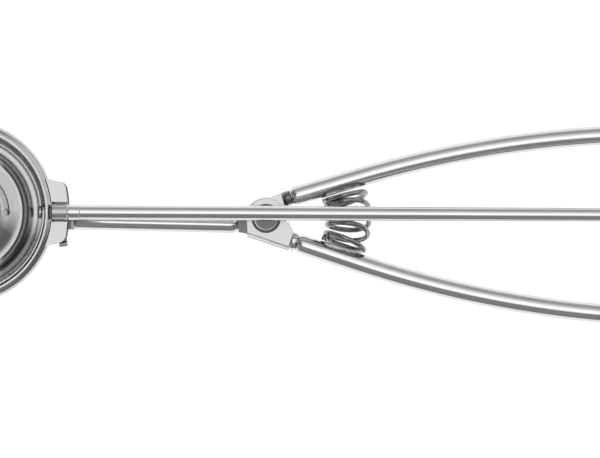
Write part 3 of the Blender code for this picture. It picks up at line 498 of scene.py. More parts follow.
def repaint(item, material, chosen):
    """Give another steel to the faces that a test of their place and normal picks."""
    item.data.materials.append(material)
    for face in item.data.polygons:
        if chosen(face.center / MM - HOME, face.normal):
            face.material_index = len(item.data.materials) - 1


def lathe(name, profile, steps, facing, closed=False):
    """A turned body: (radius, height) points about the local Z that facing puts in place."""
    verts, grain, rings = [], [], []
    length = 0.0
    for index, (radius, height) in enumerate(profile):
        if index:
            length += math.dist(profile[index - 1], (radius, height))
        ring = []
        for step in range(steps if radius > 1e-6 else 1):
            turn = 2 * math.pi * step / steps
            ring.append(len(verts))
            across = (radius * math.cos(turn), radius * math.sin(turn))
            verts.append(facing @ Vector((*across, height)))
            grain.append((*across, length))
        rings.append(ring)
    pairs = list(zip(rings, rings[1:]))
    if closed:
        pairs.append((rings[-1], rings[0]))
    return mesh_object(name, verts, ring_faces(pairs, steps), grain)


def ring_faces(pairs, steps):
    """Faces between rings of points. A ring of one point is a pole."""
    faces = []
    for low, high in pairs:
        for step in range(steps):
            after = (step + 1) % steps
            corners = [low[step % len(low)], low[after % len(low)]]
            corners += [high[after % len(high)], high[step % len(high)]]
            unique = list(dict.fromkeys(corners))
            if len(unique) > 2:
                faces.append(unique)
    return faces


def on_x(y, z):
    """Puts a turned body's axis along +X."""
    return Matrix.Translation((0, y, z)) @ Matrix.Rotation(math.pi / 2, 4, "Y")


def on_z(centre):
    """Stands a turned body on a point of the layout."""
    return Matrix.Translation((centre[0], centre[1], 0))


def sweep(name, stations, sides, closed=False, caps=False):
    """A skin over rings: each station is (centre, side direction, up direction, radius, length)."""
    verts, grain, rings = [], [], []
    for centre, aside, up, radius, length in stations:
        ring = []
        for step in range(sides):
            turn = 2 * math.pi * step / sides
            ring.append(len(verts))
            verts.append(centre + (aside * math.cos(turn) + up * math.sin(turn)) * radius)
            grain.append((radius * math.cos(turn), radius * math.sin(turn), length))
        rings.append(ring)
    pairs = list(zip(rings, rings[1:]))
    if closed:
        pairs.append((rings[-1], rings[0]))
    faces = ring_faces(pairs, sides)
    if caps:
        faces += [list(reversed(rings[0])), rings[-1]]
    return mesh_object(name, verts, faces, grain)


def slab(name, outline, low, high):
    """A flat plate between two heights."""
    count = len(outline)
    verts = [(x, y, low) for x, y in outline] + [(x, y, high) for x, y in outline]
    faces = [list(range(count))[::-1], list(range(count, 2 * count))]
    for index in range(count):
        after = (index + 1) % count
        faces.append([index, after, after + count, index + count])
    return mesh_object(name, verts, faces)


def washer(name, bore, radius, start, end, facing, steps):
    """A flat ring with broken edges."""
    profile = [(bore, start), (radius, start), (radius, end), (bore, end)]
    item = lathe(name, profile, steps, facing, closed=True)
    soften(item, EDGE_BREAK)
    return item


def arc(centre, radius, start, end, count):
    """Points of an arc between two angles in radians, both ends counted."""
    made = []
    for index in range(count):
        turn = start + (end - start) * index / (count - 1)
        made.append((centre[0] + radius * math.cos(turn), centre[1] + radius * math.sin(turn)))
    return made


def dome(radius, edge, rise, count):
    """Profile of a turned body's round end, from its middle to its edge."""
    made = [(0, edge + rise)]
    for index in range(1, count + 1):
        angle = math.pi / 2 * (1 - index / count)
        made.append((radius * math.cos(angle), edge + rise * math.sin(angle)))
    return made


def drum(name, radius, low, high, facing, steps=RING_STEPS):
    """A plain disc body for cutting."""
    return lathe(name, [(0, high), (radius, high), (radius, low), (0, low)], steps, facing)


def rounded(points, radius, count=4):
    """Round the corners of an open profile by short arcs."""
    made = [points[0]]
    for before, corner, after in zip(points, points[1:], points[2:]):
        corner = Vector(corner)
        back = Vector(before) - corner
        ahead = Vector(after) - corner
        cut = min(radius, back.length * 0.45, ahead.length * 0.45)
        start = corner + back.normalized() * cut
        end = corner + ahead.normalized() * cut
        for step in range(count + 1):
            share = step / count
            bent = start.lerp(corner, share).lerp(corner.lerp(end, share), share)
            made.append(tuple(bent))
    made.append(points[-1])
    return made


# Bowl

def bowl_outside(grow):
    """Profile from the lip's top edge over its quarter round to its foot, then down to the pole."""
    wall = BOWL_OUTER + grow
    foot = -LIP_HEIGHT - grow
    points = arc((LIP_CREST, -LIP_RADIUS), LIP_RADIUS + grow, math.pi / 2, 0, 28)
    flank = [points[-1], (points[-1][0], foot), (wall, foot), (wall, AXLE_Z)]
    points += rounded(flank, LIP_FILLET)[1:-1]
    points += arc((0, AXLE_Z), wall, 0, -math.pi / 2, 40)
    points[-1] = (0, AXLE_Z - wall)
    return points


def bowl_cope():
    """What the bowl's neighbours are cut back to: its outside, grown by the clearance."""
    return lathe("cope", [(0, GAP)] + bowl_outside(GAP), BOWL_STEPS, Matrix.Identity(4))


def make_bowl():
    inner = arc((0, AXLE_Z), BOWL_INNER, -math.pi / 2, 0, 56)
    inner[0] = (0, AXLE_Z - BOWL_INNER)
    crest = LIP_CREST - BOWL_INNER
    inner += arc((LIP_CREST, -crest), crest, math.pi, math.pi / 2, 8)
    item = lathe("bowl_shell", inner[:-1] + bowl_outside(0), BOWL_STEPS, Matrix.Identity(4))
    boolean(item, drum("hole", BUSH_RADIUS + GAP / 2, 20, 32, on_x(0, AXLE_Z)))
    boolean(item, drum("hole", AXLE_RADIUS + GAP, -32, -20, on_x(0, AXLE_Z)))
    finish(item, "frame", BOWL_STEEL, ["bowl"], 40)

    def inside(place, normal):
        near = place.xy.length < BOWL_INNER + 0.05 and place.z > AXLE_Z - BOWL_INNER - 0.1
        return near and (normal.xy.dot(place.xy) < 0 or normal.z > 0.5)

    # The inside takes the lighter steel with painted reflection rings
    repaint(item, BOWL_INSIDE_PAINTED, inside)


# Scraper, its axle and what carries both its ends

def blade_section(half, half_thick):
    """Points (across, deep) round the strip's section, with its four corners rounded."""
    points = []
    reach = min(BLADE_CORNER, half * 0.9)
    corners = ((1, 1, False), (1, -1, True), (-1, -1, False), (-1, 1, True))
    for across_sign, deep_sign, swapped in corners:
        for step in range(4):
            angle = math.pi / 2 * (step / 3)
            part = (math.cos(angle), math.sin(angle)) if swapped else (math.sin(angle), math.cos(angle))
            points.append((
                across_sign * (half - reach + reach * part[0]),
                deep_sign * (half_thick - BLADE_CORNER + BLADE_CORNER * part[1]),
            ))
    return points


def make_blade():
    """The strip that sweeps the bowl, with a rounded section and round pads at both poles."""
    middle = (BLADE_OUTER + BLADE_INNER) / 2
    half_thick = (BLADE_OUTER - BLADE_INNER) / 2
    pad = math.asin(BLADE_HALF / middle)
    turns = [-pad * math.cos(math.pi / 2 * share / 8) for share in range(8)]
    turns += [math.pi * share / 96 for share in range(97)]
    turns += [math.pi + pad * math.sin(math.pi / 2 * share / 8) for share in range(1, 9)]
    verts, rings, grain = [], [], []
    for turn in turns:
        past = min(1.0, max(0.0, -turn, turn - math.pi) / pad)
        half = max(0.02, BLADE_HALF * math.sqrt(max(0.0, 1 - past * past)))
        ring = []
        for across, deep in blade_section(half, half_thick):
            radius = middle + deep
            ring.append(len(verts))
            verts.append((radius * math.cos(turn), -radius * math.sin(turn), AXLE_Z + across))
            grain.append((across, deep, middle * turn))
        rings.append(ring)
    faces = ring_faces(list(zip(rings, rings[1:])), len(rings[0]))
    faces += [list(reversed(rings[0])), rings[-1]]
    item = mesh_object("scraper_strip", verts, faces, grain)
    boolean(item, drum("hole", AXLE_RADIUS + GAP, 20, 30, on_x(0, AXLE_Z)))
    boolean(item, drum("hole", AXLE_RADIUS + GAP, -30, -20, on_x(0, AXLE_Z)))
    finish(item, "scraper", TURNED_STEEL, ["scraper_blade"])


def make_axle():
    head = BLADE_INNER - GAP
    profile = [(0, HOUSING_REACH), (AXLE_RADIUS, HOUSING_REACH), (AXLE_RADIUS, head), (AXLE_HEAD, head)]
    profile += [(AXLE_HEAD, head - AXLE_HEAD_THICK), (0, head - AXLE_HEAD_THICK)]
    item = lathe("axle_pin", rounded(profile, AXLE_ROUNDING), PIN_STEPS, on_x(0, AXLE_Z))
    finish(item, "scraper", TURNED_STEEL, ["scraper_axle"])


def make_pole():
    """The rivet that carries the scraper's far end, and its washer outside the bowl."""
    head = BLADE_INNER - GAP
    wall = -BOWL_OUTER - GAP
    under = wall - POLE_WASHER_THICK
    outer = under - GAP
    end = outer - POLE_HEAD_THICK
    profile = [(0, AXLE_HEAD_THICK - head), (AXLE_HEAD, AXLE_HEAD_THICK - head), (AXLE_HEAD, -head)]
    profile += [(AXLE_RADIUS, -head), (AXLE_RADIUS, outer), (AXLE_HEAD, outer)]
    profile += [(AXLE_HEAD * 0.8, end), (0, end)]
    item = lathe("pole_pin", rounded(profile, AXLE_ROUNDING), PIN_STEPS, on_x(0, AXLE_Z))
    finish(item, "frame", TURNED_STEEL, ["pole_rivet"])

    item = washer("pole_ring", AXLE_RADIUS + GAP, POLE_WASHER_RADIUS, under, wall, on_x(0, AXLE_Z), PIN_STEPS)
    finish(item, "frame", TURNED_STEEL, ["pole_washer"])


def make_bush():
    bore = AXLE_RADIUS + GAP
    start = math.sqrt(BOWL_INNER ** 2 - BUSH_RADIUS ** 2) + GAP
    flange = PINION_START - GAP
    step = flange - BUSH_FLANGE_THICK
    profile = [(bore, flange), (BUSH_FLANGE, flange), (BUSH_FLANGE, step), (BUSH_RADIUS, step)]
    profile += [(BUSH_RADIUS, start), (bore, start)]
    item = lathe("bearing_bush", profile, PIN_STEPS, on_x(0, AXLE_Z), closed=True)
    finish(item, "frame", GEAR_STEEL, ["axle_bush"])


# Copies of cut gear shapes with broken edges

def join_facets(work):
    bmesh.ops.remove_doubles(work, verts=work.verts, dist=0.0005 * MM)
    bmesh.ops.dissolve_limit(work, angle_limit=math.radians(1), verts=work.verts, edges=work.edges)


def eased_copy(cad_node, name, width, body, material):
    """A copy of a CAD piece with its split facets joined and its edges broken."""
    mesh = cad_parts[cad_node].data.copy()
    rework(mesh, join_facets)
    item = bpy.data.objects.new(name, mesh)
    bpy.context.scene.collection.objects.link(item)
    soften(item, width, 2, 40)
    finish(item, body, material, [cad_node], 30)


# Housing

def housing_outline():
    """The sheet's outline from above: coped to the bowl, with a curved outer edge and round corners."""
    inner_x = math.sqrt(SADDLE_INNER ** 2 - HOUSING_HALF_INNER ** 2)
    half_edge = HOUSING_HALF_OUTER - HOUSING_CORNER
    edge = []
    for index in range(33):
        y = half_edge * (index / 16 - 1)
        edge.append((HOUSING_REACH - HOUSING_DROP * (y / half_edge) ** 2, y))
    upper = arc((edge[0][0] - HOUSING_CORNER, half_edge), HOUSING_CORNER, 0, math.pi / 2, 12)[1:]
    upper += [(inner_x, HOUSING_HALF_INNER), (inner_x - HOUSING_TUCK, HOUSING_HALF_INNER)]
    return [(x, -y) for x, y in reversed(upper)] + edge + upper


def housing_ear():
    """The tab that hangs from the top plate, round the axle's end."""
    outline = [(-EAR_TOP_HALF, HOUSING_TOP - SHEET / 2), (EAR_TOP_HALF, HOUSING_TOP - SHEET / 2)]
    outline += arc((0, AXLE_Z), EAR_RADIUS, 0, -math.pi, 25)
    count = len(outline)
    verts = [(EAR_START, y, z) for y, z in outline] + [(EAR_END, y, z) for y, z in outline]
    faces = [list(range(count)), list(range(count, 2 * count))[::-1]]
    faces += [[i, (i + 1) % count, (i + 1) % count + count, i + count] for i in range(count)]
    return mesh_object("ear", verts, faces)


def make_housing():
    """Folded sheet round the drive, open outwards, with the ear that takes the axle's end."""
    item = slab("drive_housing", housing_outline(), HOUSING_BOTTOM, HOUSING_TOP)
    shelf = -LIP_HEIGHT - GAP - SHEET
    shelf_radius = LIP_CREST + LIP_RADIUS + GAP + SHEET
    top_low = HOUSING_TOP - SHEET
    floor_top = HOUSING_BOTTOM + SHEET
    past = HOUSING_PAST
    inner = [(shelf_radius, top_low), (past, top_low), (past, floor_top), (SADDLE_OUTER, floor_top)]
    inner += [(SADDLE_OUTER, shelf), (shelf_radius, shelf)]
    boolean(item, lathe("channel", inner, BOWL_STEPS, Matrix.Identity(4), closed=True))
    boolean(item, bowl_cope())
    boolean(item, housing_ear(), "UNION")
    boolean(item, drum("trough", SOCKET_RADIUS + GAP, 0, past, on_x(0, ROD_Z), SEAT_STEPS))
    beside = [(FERRULE_SLOT_START, FERRULE_SLOT_LOW), (FERRULE_SLOT_END, FERRULE_SLOT_LOW)]
    beside += [(FERRULE_SLOT_END, FERRULE_SLOT_HIGH), (FERRULE_SLOT_START, FERRULE_SLOT_HIGH)]
    boolean(item, slab("slot", beside, top_low - FERRULE_SLOT_PAST, HOUSING_TOP + FERRULE_SLOT_PAST))
    boolean(item, drum("pocket", PINION_TIP + GAP, 20, PINION_END, on_x(0, AXLE_Z), SEAT_STEPS))
    boolean(item, drum("hole", AXLE_RADIUS + GAP, PINION_END - 1, past, on_x(0, AXLE_Z)))
    soften(item, EDGE_BREAK, 2, 40)
    finish(item, "frame", PLATE_STEEL, ["saddle_bracket"])

    def painted_shade_beside_ferrule(place, normal):
        near = abs(place.y) < FERRULE_SLOT_HIGH + FERRULE_SLOT_PAST
        return near and shelf - 0.1 < place.z < HOUSING_TOP - 0.3

    # Painted shade: the faces under the slot beside the ferrule take the dark steel
    repaint(item, PAINTED_SHADE_STEEL, painted_shade_beside_ferrule)


# Centre rod

def make_ferrule():
    bore = NECK_RADIUS + GAP
    end = HOUSING_REACH
    profile = [(bore, SOCKET_START), (SOCKET_RADIUS, SOCKET_START), (SOCKET_RADIUS, end - SOCKET_BREAK)]
    profile += [(SOCKET_RADIUS - SOCKET_BREAK, end), (bore, end)]
    item = lathe("rod_ferrule", profile, ROD_STEPS, on_x(0, ROD_Z), closed=True)
    boolean(item, bowl_cope())
    finish(item, "frame", SATIN_STEEL, ["rod_socket"])


def make_collar():
    bore = NECK_RADIUS + GAP
    edge = COLLAR_RADIUS - COLLAR_BREAK
    end = COLLAR_START + COLLAR_LENGTH
    profile = [(bore, COLLAR_START), (edge, COLLAR_START), (COLLAR_RADIUS, COLLAR_START + COLLAR_BREAK)]
    profile += [(COLLAR_RADIUS, end - COLLAR_BREAK), (edge, end), (bore, end)]
    item = lathe("polished_collar", profile, ROD_STEPS, on_x(0, ROD_Z), closed=True)
    finish(item, "frame", TURNED_STEEL, ["neck_collar"])


def make_rod():
    rise = ROD_RADIUS * ROD_DOME
    profile = dome(ROD_RADIUS, ROD_END - rise, rise, 12)
    start = COLLAR_START + COLLAR_LENGTH + ROD_BREAK
    profile += [(ROD_RADIUS, ROD_END - 5), (ROD_RADIUS, start + ROD_BREAK), (ROD_RADIUS - ROD_BREAK, start)]
    profile += [(NECK_RADIUS, start), (NECK_RADIUS, NECK_START), (0, NECK_START)]
    item = lathe("long_rod", profile, ROD_STEPS, on_x(0, ROD_Z))
    finish(item, "frame", ROD_STEEL, ["centre_rod"])


# Pivot

def make_boss():
    """The spacer between the centre rod, which lies in its seat, and the clevis."""
    top = ROD_Z - ROD_RADIUS + GAP * 2
    low = CLEVIS_TOP + GAP
    edge = SPACER_RADIUS - BOSS_CHAMFER
    profile = [(0, top), (edge, top), (SPACER_RADIUS, top - BOSS_CHAMFER)]
    profile += [(SPACER_RADIUS, low + BOSS_FOOT_HIGH), (BOSS_FOOT - 0.2, low + BOSS_FOOT_HIGH - 0.1)]
    profile += [(BOSS_FOOT, low + 0.2), (BOSS_FOOT, low), (0, low)]
    item = lathe("pivot_boss", profile, ROD_STEPS, on_z(PIVOT))
    boolean(item, drum("seat", ROD_RADIUS + GAP, 80, 102, on_x(0, ROD_Z), SEAT_STEPS))
    boolean(item, drum("bore", RIVET_RADIUS + GAP, low - 1, low + RIVET_INTO_BOSS + GAP, on_z(PIVOT)))
    # Painted shade: the boss's dark steel stands for the rod's shade over it and the shade ring round its
    # foot
    finish(item, "frame", BOSS_PAINTED_SHADE, ["pivot_spacer"])
    # Painted highlight: the chamfer takes bright turned steel
    repaint(item, TURNED_STEEL, lambda place, normal: 0.4 < normal.z < 0.95 and place.z > low + 1)


def make_rivet():
    """The pivot's pin with its head below, and the washer over the head, between high and low."""
    high = CLEVIS_BOTTOM - GAP
    low = high - WASHER_THICK
    end = CLEVIS_TOP + GAP + RIVET_INTO_BOSS
    head = low - GAP
    profile = [(0, end), (RIVET_RADIUS, end), (RIVET_RADIUS, head), (RIVET_HEAD, head)]
    profile.append((RIVET_HEAD - 0.1, head - RIVET_HEAD_THICK * 0.45))
    profile += [(RIVET_HEAD * 0.75, head - RIVET_HEAD_THICK * 0.9), (0, head - RIVET_HEAD_THICK)]
    item = lathe("pivot_pin", rounded(profile, RIVET_ROUNDING), RING_STEPS, on_z(PIVOT))
    finish(item, "frame", TURNED_STEEL, ["pivot_rivet"])

    item = washer("pivot_ring", RIVET_RADIUS + GAP, SPACER_RADIUS, high, low, on_z(PIVOT), RING_STEPS)
    finish(item, "frame", TURNED_STEEL, ["pivot_washer"])


# Handles

def arm_place(side, along, outward):
    """A point beside the pivot: along an arm's line, and outward from the midline."""
    turn = MIDLINE + side * ARM_ANGLE
    ahead = Vector((math.cos(turn), math.sin(turn)))
    aside = Vector((-math.sin(turn), math.cos(turn))) * side
    return PIVOT + ahead * along + aside * outward


def arm_outward(side, point):
    """How far a point lies from the arm's line through the pivot, away from the midline."""
    turn = MIDLINE + side * ARM_ANGLE
    return side * ((point.y - PIVOT.y) * math.cos(turn) - (point.x - PIVOT.x) * math.sin(turn))


BOW_LENGTH = BOW_RADIUS * ARM_ANGLE
ARM_LENGTH = ARM_STRAIGHT + BOW_LENGTH + TIP_RADIUS * TIP_TURN


def arm_axis(side, length):
    """Centre and heading of a handle at a length along it from beside the pivot."""
    if length <= ARM_STRAIGHT:
        along, outward, heading = length, ARM_OFFSET, 0.0
    elif length <= ARM_STRAIGHT + BOW_LENGTH:
        heading = (length - ARM_STRAIGHT) / BOW_RADIUS
        along = ARM_STRAIGHT + BOW_RADIUS * math.sin(heading)
        outward = ARM_OFFSET - BOW_RADIUS * (1 - math.cos(heading))
    else:
        more = (length - ARM_STRAIGHT - BOW_LENGTH) / TIP_RADIUS
        heading = ARM_ANGLE + more
        along = ARM_STRAIGHT + BOW_RADIUS * math.sin(ARM_ANGLE)
        outward = ARM_OFFSET - BOW_RADIUS * (1 - math.cos(ARM_ANGLE))
        along += TIP_RADIUS * (math.sin(heading) - math.sin(ARM_ANGLE))
        outward -= TIP_RADIUS * (math.cos(ARM_ANGLE) - math.cos(heading))
    place = arm_place(side, along, outward)
    return Vector((place.x, place.y, TUBE_Z)), MIDLINE + side * (ARM_ANGLE - heading)


def on_arm(side, length):
    """Lays a turned body's axis along a handle, from a length along it."""
    centre, heading = arm_axis(side, length)
    laid = Matrix.Translation(centre) @ Matrix.Rotation(heading, 4, "Z")
    return laid @ Matrix.Rotation(math.pi / 2, 4, "Y")


def rack_axis(length):
    """Centre and heading of the rack rod, from its far end back to its nose at the pivot."""
    x = RACK_ROD_END - length * math.cos(RACK_ROD_ANGLE)
    y = PIVOT.y - RACK_ROD_OFFSET / math.cos(RACK_ROD_ANGLE) - (x - PIVOT.x) * math.tan(RACK_ROD_ANGLE)
    return Vector((x, y, TUBE_Z)), math.pi - RACK_ROD_ANGLE


def smooth(share):
    """Ease a share from 0 to 1 at both its ends."""
    share = min(1.0, max(0.0, share))
    return share * share * (3 - 2 * share)


def tube(name, axis, start, end, runs, wide=TUBE):
    """A hollow tube with a rounded nose at its start and a broken edge at its end.

    wide is its radius behind the nose. Towards the end it narrows to TUBE.
    """
    shoulder = start + NOSE
    profile = []
    for index in range(NOSE_POINTS, -1, -1):
        angle = math.pi / 2 * index / NOSE_POINTS
        radius = wide - (wide - NOSE_MOUTH - 0.1) * (1 - math.cos(angle))
        profile.append((start + NOSE * (1 - math.sin(angle)), radius))
    for index in range(1, runs):
        length = shoulder + (end - shoulder - 0.2) * index / runs
        narrowed = smooth((length - end + GRIP_NARROWS) / (GRIP_NARROWS - GRIP_NARROWED))
        profile.append((length, wide - (wide - TUBE) * narrowed))
    profile += [(end - 0.2, TUBE), (end - 0.06, TUBE - 0.06), (end, TUBE - 0.2), (end, BORE)]
    for index in range(1, runs):
        profile.append((end + (shoulder - end) * index / runs, BORE))
    profile += [(shoulder, BORE), (shoulder - 0.6, NOSE_MOUTH), (start, NOSE_MOUTH)]
    stations = []
    for length, radius in profile:
        centre, heading = axis(length)
        aside = Vector((-math.sin(heading), math.cos(heading), 0))
        stations.append((centre, aside, Vector((0, 0, 1)), radius, length))
    return sweep(name, stations, TUBE_STEPS, closed=True)


def make_handle(side, start, name, body, cad_node):
    """A bowed tube and the domed plug in its end."""
    item = tube(name, lambda length: arm_axis(side, length), start, ARM_LENGTH, 72, GRIP)
    finish(item, body, HANDLE_STEEL, [cad_node], 40)
    profile = dome(TUBE, GAP, PLUG_DOME, 14)
    profile += [(TUBE - 0.15, GAP - 0.1), (PLUG_STEM, GAP - 0.1)]
    profile += [(PLUG_STEM, -PLUG_LENGTH), (0, -PLUG_LENGTH)]
    item = lathe(name + "_cap", profile, TUBE_STEPS, on_arm(side, ARM_LENGTH))
    finish(item, body, HANDLE_STEEL, [cad_node + "_plug"], 40)


def make_rack_rod():
    length = (RACK_ROD_END - RACK_ROD_START) / math.cos(RACK_ROD_ANGLE)
    item = tube("rack_tube", rack_axis, 0.0, length, 4)
    finish(item, "upper_lever", HANDLE_STEEL, ["rack_rod"], 40)


# Plates at the pivot

def lever_edge(edge, count):
    """An arc of the lever plate's outline round the pivot."""
    radius, start, end = edge
    return arc(PIVOT, radius, math.radians(start), math.radians(end), count)


def lever_outline():
    """The arm with its tongue in the upper tube, then the tail with its tongue in the rack rod."""
    shoulder = UPPER_START - STRIPES
    tongue_end = UPPER_START + TONGUE
    arm = [
        arm_place(1, shoulder, ARM_OFFSET - SHOULDER_HALF),
        arm_place(1, shoulder, ARM_OFFSET - TONGUE_HALF),
        arm_place(1, tongue_end, ARM_OFFSET - TONGUE_HALF),
        arm_place(1, tongue_end, ARM_OFFSET + TONGUE_HALF),
        arm_place(1, shoulder, ARM_OFFSET + TONGUE_HALF),
        arm_place(1, shoulder, ARM_OFFSET + SHOULDER_HALF),
    ]
    end_y = rack_axis(0)[0].y
    edge = RACK_ROD_END + GAP
    tip = rack_axis(TONGUE)[0]
    tail = [
        (edge, end_y + TAIL_HALF),
        (edge, end_y + TONGUE_HALF),
        (tip.x, tip.y + TONGUE_HALF),
        (tip.x, tip.y - TONGUE_HALF),
        (edge, end_y - TONGUE_HALF),
        (edge, end_y - TAIL_HALF),
    ]
    outline = [tuple(point) for point in arm] + lever_edge(LEVER_UPPER_EDGE, 24) + tail
    return outline + lever_edge(LEVER_TAIL_EDGE, 14) + lever_edge(LEVER_LOWER_EDGE, 20)


def lever_stripes():
    """The grooved swage before the upper tube."""
    profile = [(0, -1.0), (STRIPE_RADIUS - 0.5, -1.0), (STRIPE_RADIUS - 0.1, -0.1)]
    low = STRIPE_RADIUS - STRIPE_DEPTH
    for index in range(STRIPE_COUNT):
        place = index * STRIPES / STRIPE_COUNT
        profile += [(STRIPE_RADIUS, place + 0.1), (STRIPE_RADIUS, place + 0.4)]
        profile += [(low, place + 0.5), (low, place + 0.6)]
    profile += [(STRIPE_STEM, STRIPES - 0.05), (STRIPE_STEM, STRIPES + 2.0), (0, STRIPES + 2.0)]
    return lathe("stripes", profile, RING_STEPS, on_arm(1, UPPER_START - STRIPES))


def cut_at_shade(work):
    """Split the faces where the rod's shade ends, so that each side can take its own steel."""
    parts = work.verts[:] + work.edges[:] + work.faces[:]
    place = (HOME + Vector((SHADE_END, 0, 0))) * MM
    bmesh.ops.bisect_plane(work, geom=parts, plane_co=place, plane_no=(1, 0, 0))


def make_lever_plate():
    """Eye plate of the upper lever. Its tail has painted shade, darker steel where it lies in the rod's
    shade, and its swage has painted shade in its grooves.
    """
    shoulder = UPPER_START - STRIPES
    item = slab("lever_wing", lever_outline(), LEVER_LOW, LEVER_HIGH)
    boolean(item, lever_stripes(), "UNION")
    boolean(item, drum("hole", RIVET_RADIUS + GAP, LEVER_LOW - 1, LEVER_HIGH + 1, on_z(PIVOT)))
    soften(item, PLATE_BREAK)
    rework(item.data, cut_at_shade)
    finish(item, "upper_lever", PLATE_STEEL, ["lever_plate"])
    ahead = Vector((math.cos(MIDLINE + ARM_ANGLE), math.sin(MIDLINE + ARM_ANGLE)))

    def painted_shade_swage(place, normal):
        along = (place.xy - PIVOT).dot(ahead)
        proud = place.z > LEVER_HIGH + 0.05 or place.z < LEVER_LOW - 0.05
        return proud and along > shoulder - 1.2 or along > shoulder + 0.05

    # Painted shade: the swage and its tongue take darker steel, standing for shade in the grooves
    repaint(item, SWAGE_PAINTED_SHADE, painted_shade_swage)
    # Painted shade: the tail, under the rod, takes the dark steel
    repaint(item, PAINTED_SHADE_STEEL, lambda place, normal: place.x < SHADE_END)


def bend_fold(work):
    """Round the clevis's outer top edge, where the sheet is folded."""
    fold = []
    for edge in work.edges:
        outward = [arm_outward(-1, vert.co / MM - HOME) for vert in edge.verts]
        height = [vert.co.z / MM - HOME.z for vert in edge.verts]
        if max(abs(value - CLEVIS_FOLD) for value in outward) < 0.01 and min(height) > CLEVIS_TOP - 0.01:
            fold.append(edge)
    bmesh.ops.bevel(work, geom=fold, offset=FOLD_BEND * MM, segments=5, profile=0.5, affect="EDGES")


def clevis_slab(name, shape, low, high):
    """A plate whose outline is given along and outward from the lower arm's line."""
    return slab(name, [tuple(arm_place(-1, along, outward)) for along, outward in shape], low, high)


def make_clevis():
    """Two eyes folded from one sheet, with a round bend along the outer side."""
    shape = [(CLEVIS_FOLD_START, CLEVIS_LEDGE)]
    shape += arc((0, 0), CLEVIS_EYE, math.radians(155), math.radians(350), 48)
    shape += [(CLEVIS_EYE + SHEET, -SHEET), (CLEVIS_END, CLEVIS_NECK), (CLEVIS_END, CLEVIS_LEDGE)]
    item = clevis_slab("folded_clevis", shape, CLEVIS_BOTTOM, CLEVIS_TOP)
    far = 2 * CLEVIS_END
    above = [(-far, CLEVIS_FOLD), (far, CLEVIS_FOLD), (far, far), (-far, far)]
    boolean(item, clevis_slab("above", above, CLEVIS_LOW_TOP, CLEVIS_TOP + 1))
    rework(item.data, bend_fold)
    block = CLEVIS_END - CLEVIS_BLOCK
    inside = CLEVIS_FOLD - SHEET
    slot = [(-far, -far), (block, -far), (block, inside), (CLEVIS_WEB_START, inside)]
    slot += [(CLEVIS_WEB_START, far), (-far, far)]
    boolean(item, clevis_slab("slot", slot, CLEVIS_LOW_TOP, CLEVIS_TOP_UNDER))
    boolean(item, drum("spigot", SPIGOT_RADIUS, 0, SPIGOT_LENGTH, on_arm(-1, block + 1)), "UNION")
    boolean(item, drum("hole", RIVET_RADIUS + GAP, CLEVIS_BOTTOM - 1, CLEVIS_TOP + 1, on_z(PIVOT)))
    soften(item, PLATE_BREAK)
    finish(item, "lower_lever", PLATE_STEEL, ["clevis"])


def make_clevis_ring():
    profile = [(RING_BORE, RING_LENGTH)]
    profile += [(radius, RING_LENGTH - height) for radius, height in RING_CORNER]
    profile.append((RING_RADIUS, RING_LENGTH / 2))
    profile += reversed(RING_CORNER)
    profile.append((RING_BORE, 0))
    item = lathe("clevis_ring", profile, 72, on_arm(-1, CLEVIS_END + 0.04), closed=True)
    finish(item, "lower_lever", TURNED_STEEL, ["clevis_collar"])


# Spring

def hermite(start, start_way, end, end_way, share):
    """A value between two ends that leaves and arrives with the given slopes."""
    square, cube = share ** 2, share ** 3
    return (
        start * (2 * cube - 3 * square + 1)
        + start_way * (cube - 2 * square + share)
        + end * (3 * square - 2 * cube)
        + end_way * (cube - square)
    )


def spring_turn(phase):
    """Angle of the coil from the midline, in degrees, at a phase in half-turns."""
    index = max(0, sum(1 for knot in SPRING_PHASES[:-1] if knot <= phase) - 1)
    low, high = SPRING_PHASES[index], SPRING_PHASES[index + 1]
    slopes = []
    for knot in (index, index + 1):
        before, after = max(0, knot - 1), min(len(SPRING_PHASES) - 1, knot + 1)
        rise = SPRING_TURNS[after] - SPRING_TURNS[before]
        slopes.append(rise / (SPRING_PHASES[after] - SPRING_PHASES[before]))
    step = high - low
    ends = (SPRING_TURNS[index], slopes[0] * step, SPRING_TURNS[index + 1], slopes[1] * step)
    return hermite(*ends, (phase - low) / step)


def spring_point(phase):
    """A point of the coil, whose turns lean less towards both its ends."""
    turn = math.pi * phase
    ends = (SPRING_PHASES[0] + 0.5, SPRING_PHASES[-1] - 0.5)
    rising = max(SPRING_LEAN_LEAST, (phase - ends[0]) / 2)
    falling = max(SPRING_LEAN_LEAST, (ends[1] - phase) / 2)
    lean = SPRING_LEAN * min(1.0, rising, falling)
    angle = MIDLINE + math.radians(spring_turn(phase) + lean * math.sin(turn))
    radius = SPRING_DISTANCE + SPRING_MEAN * math.cos(turn)
    height = TUBE_Z + SPRING_MEAN * math.sin(turn)
    return Vector((PIVOT.x + radius * math.cos(angle), PIVOT.y + radius * math.sin(angle), height))


def spring_leg(side):
    """Tip and start of the straight end that meets the handle squarely."""
    along = SPRING_DISTANCE - SPRING_MEAN
    near = ARM_OFFSET - GRIP - GAP
    tip = arm_place(side, along, near)
    inner = arm_place(side, along, near - SPRING_LEG)
    return Vector((tip.x, tip.y, TUBE_Z)), Vector((inner.x, inner.y, TUBE_Z))


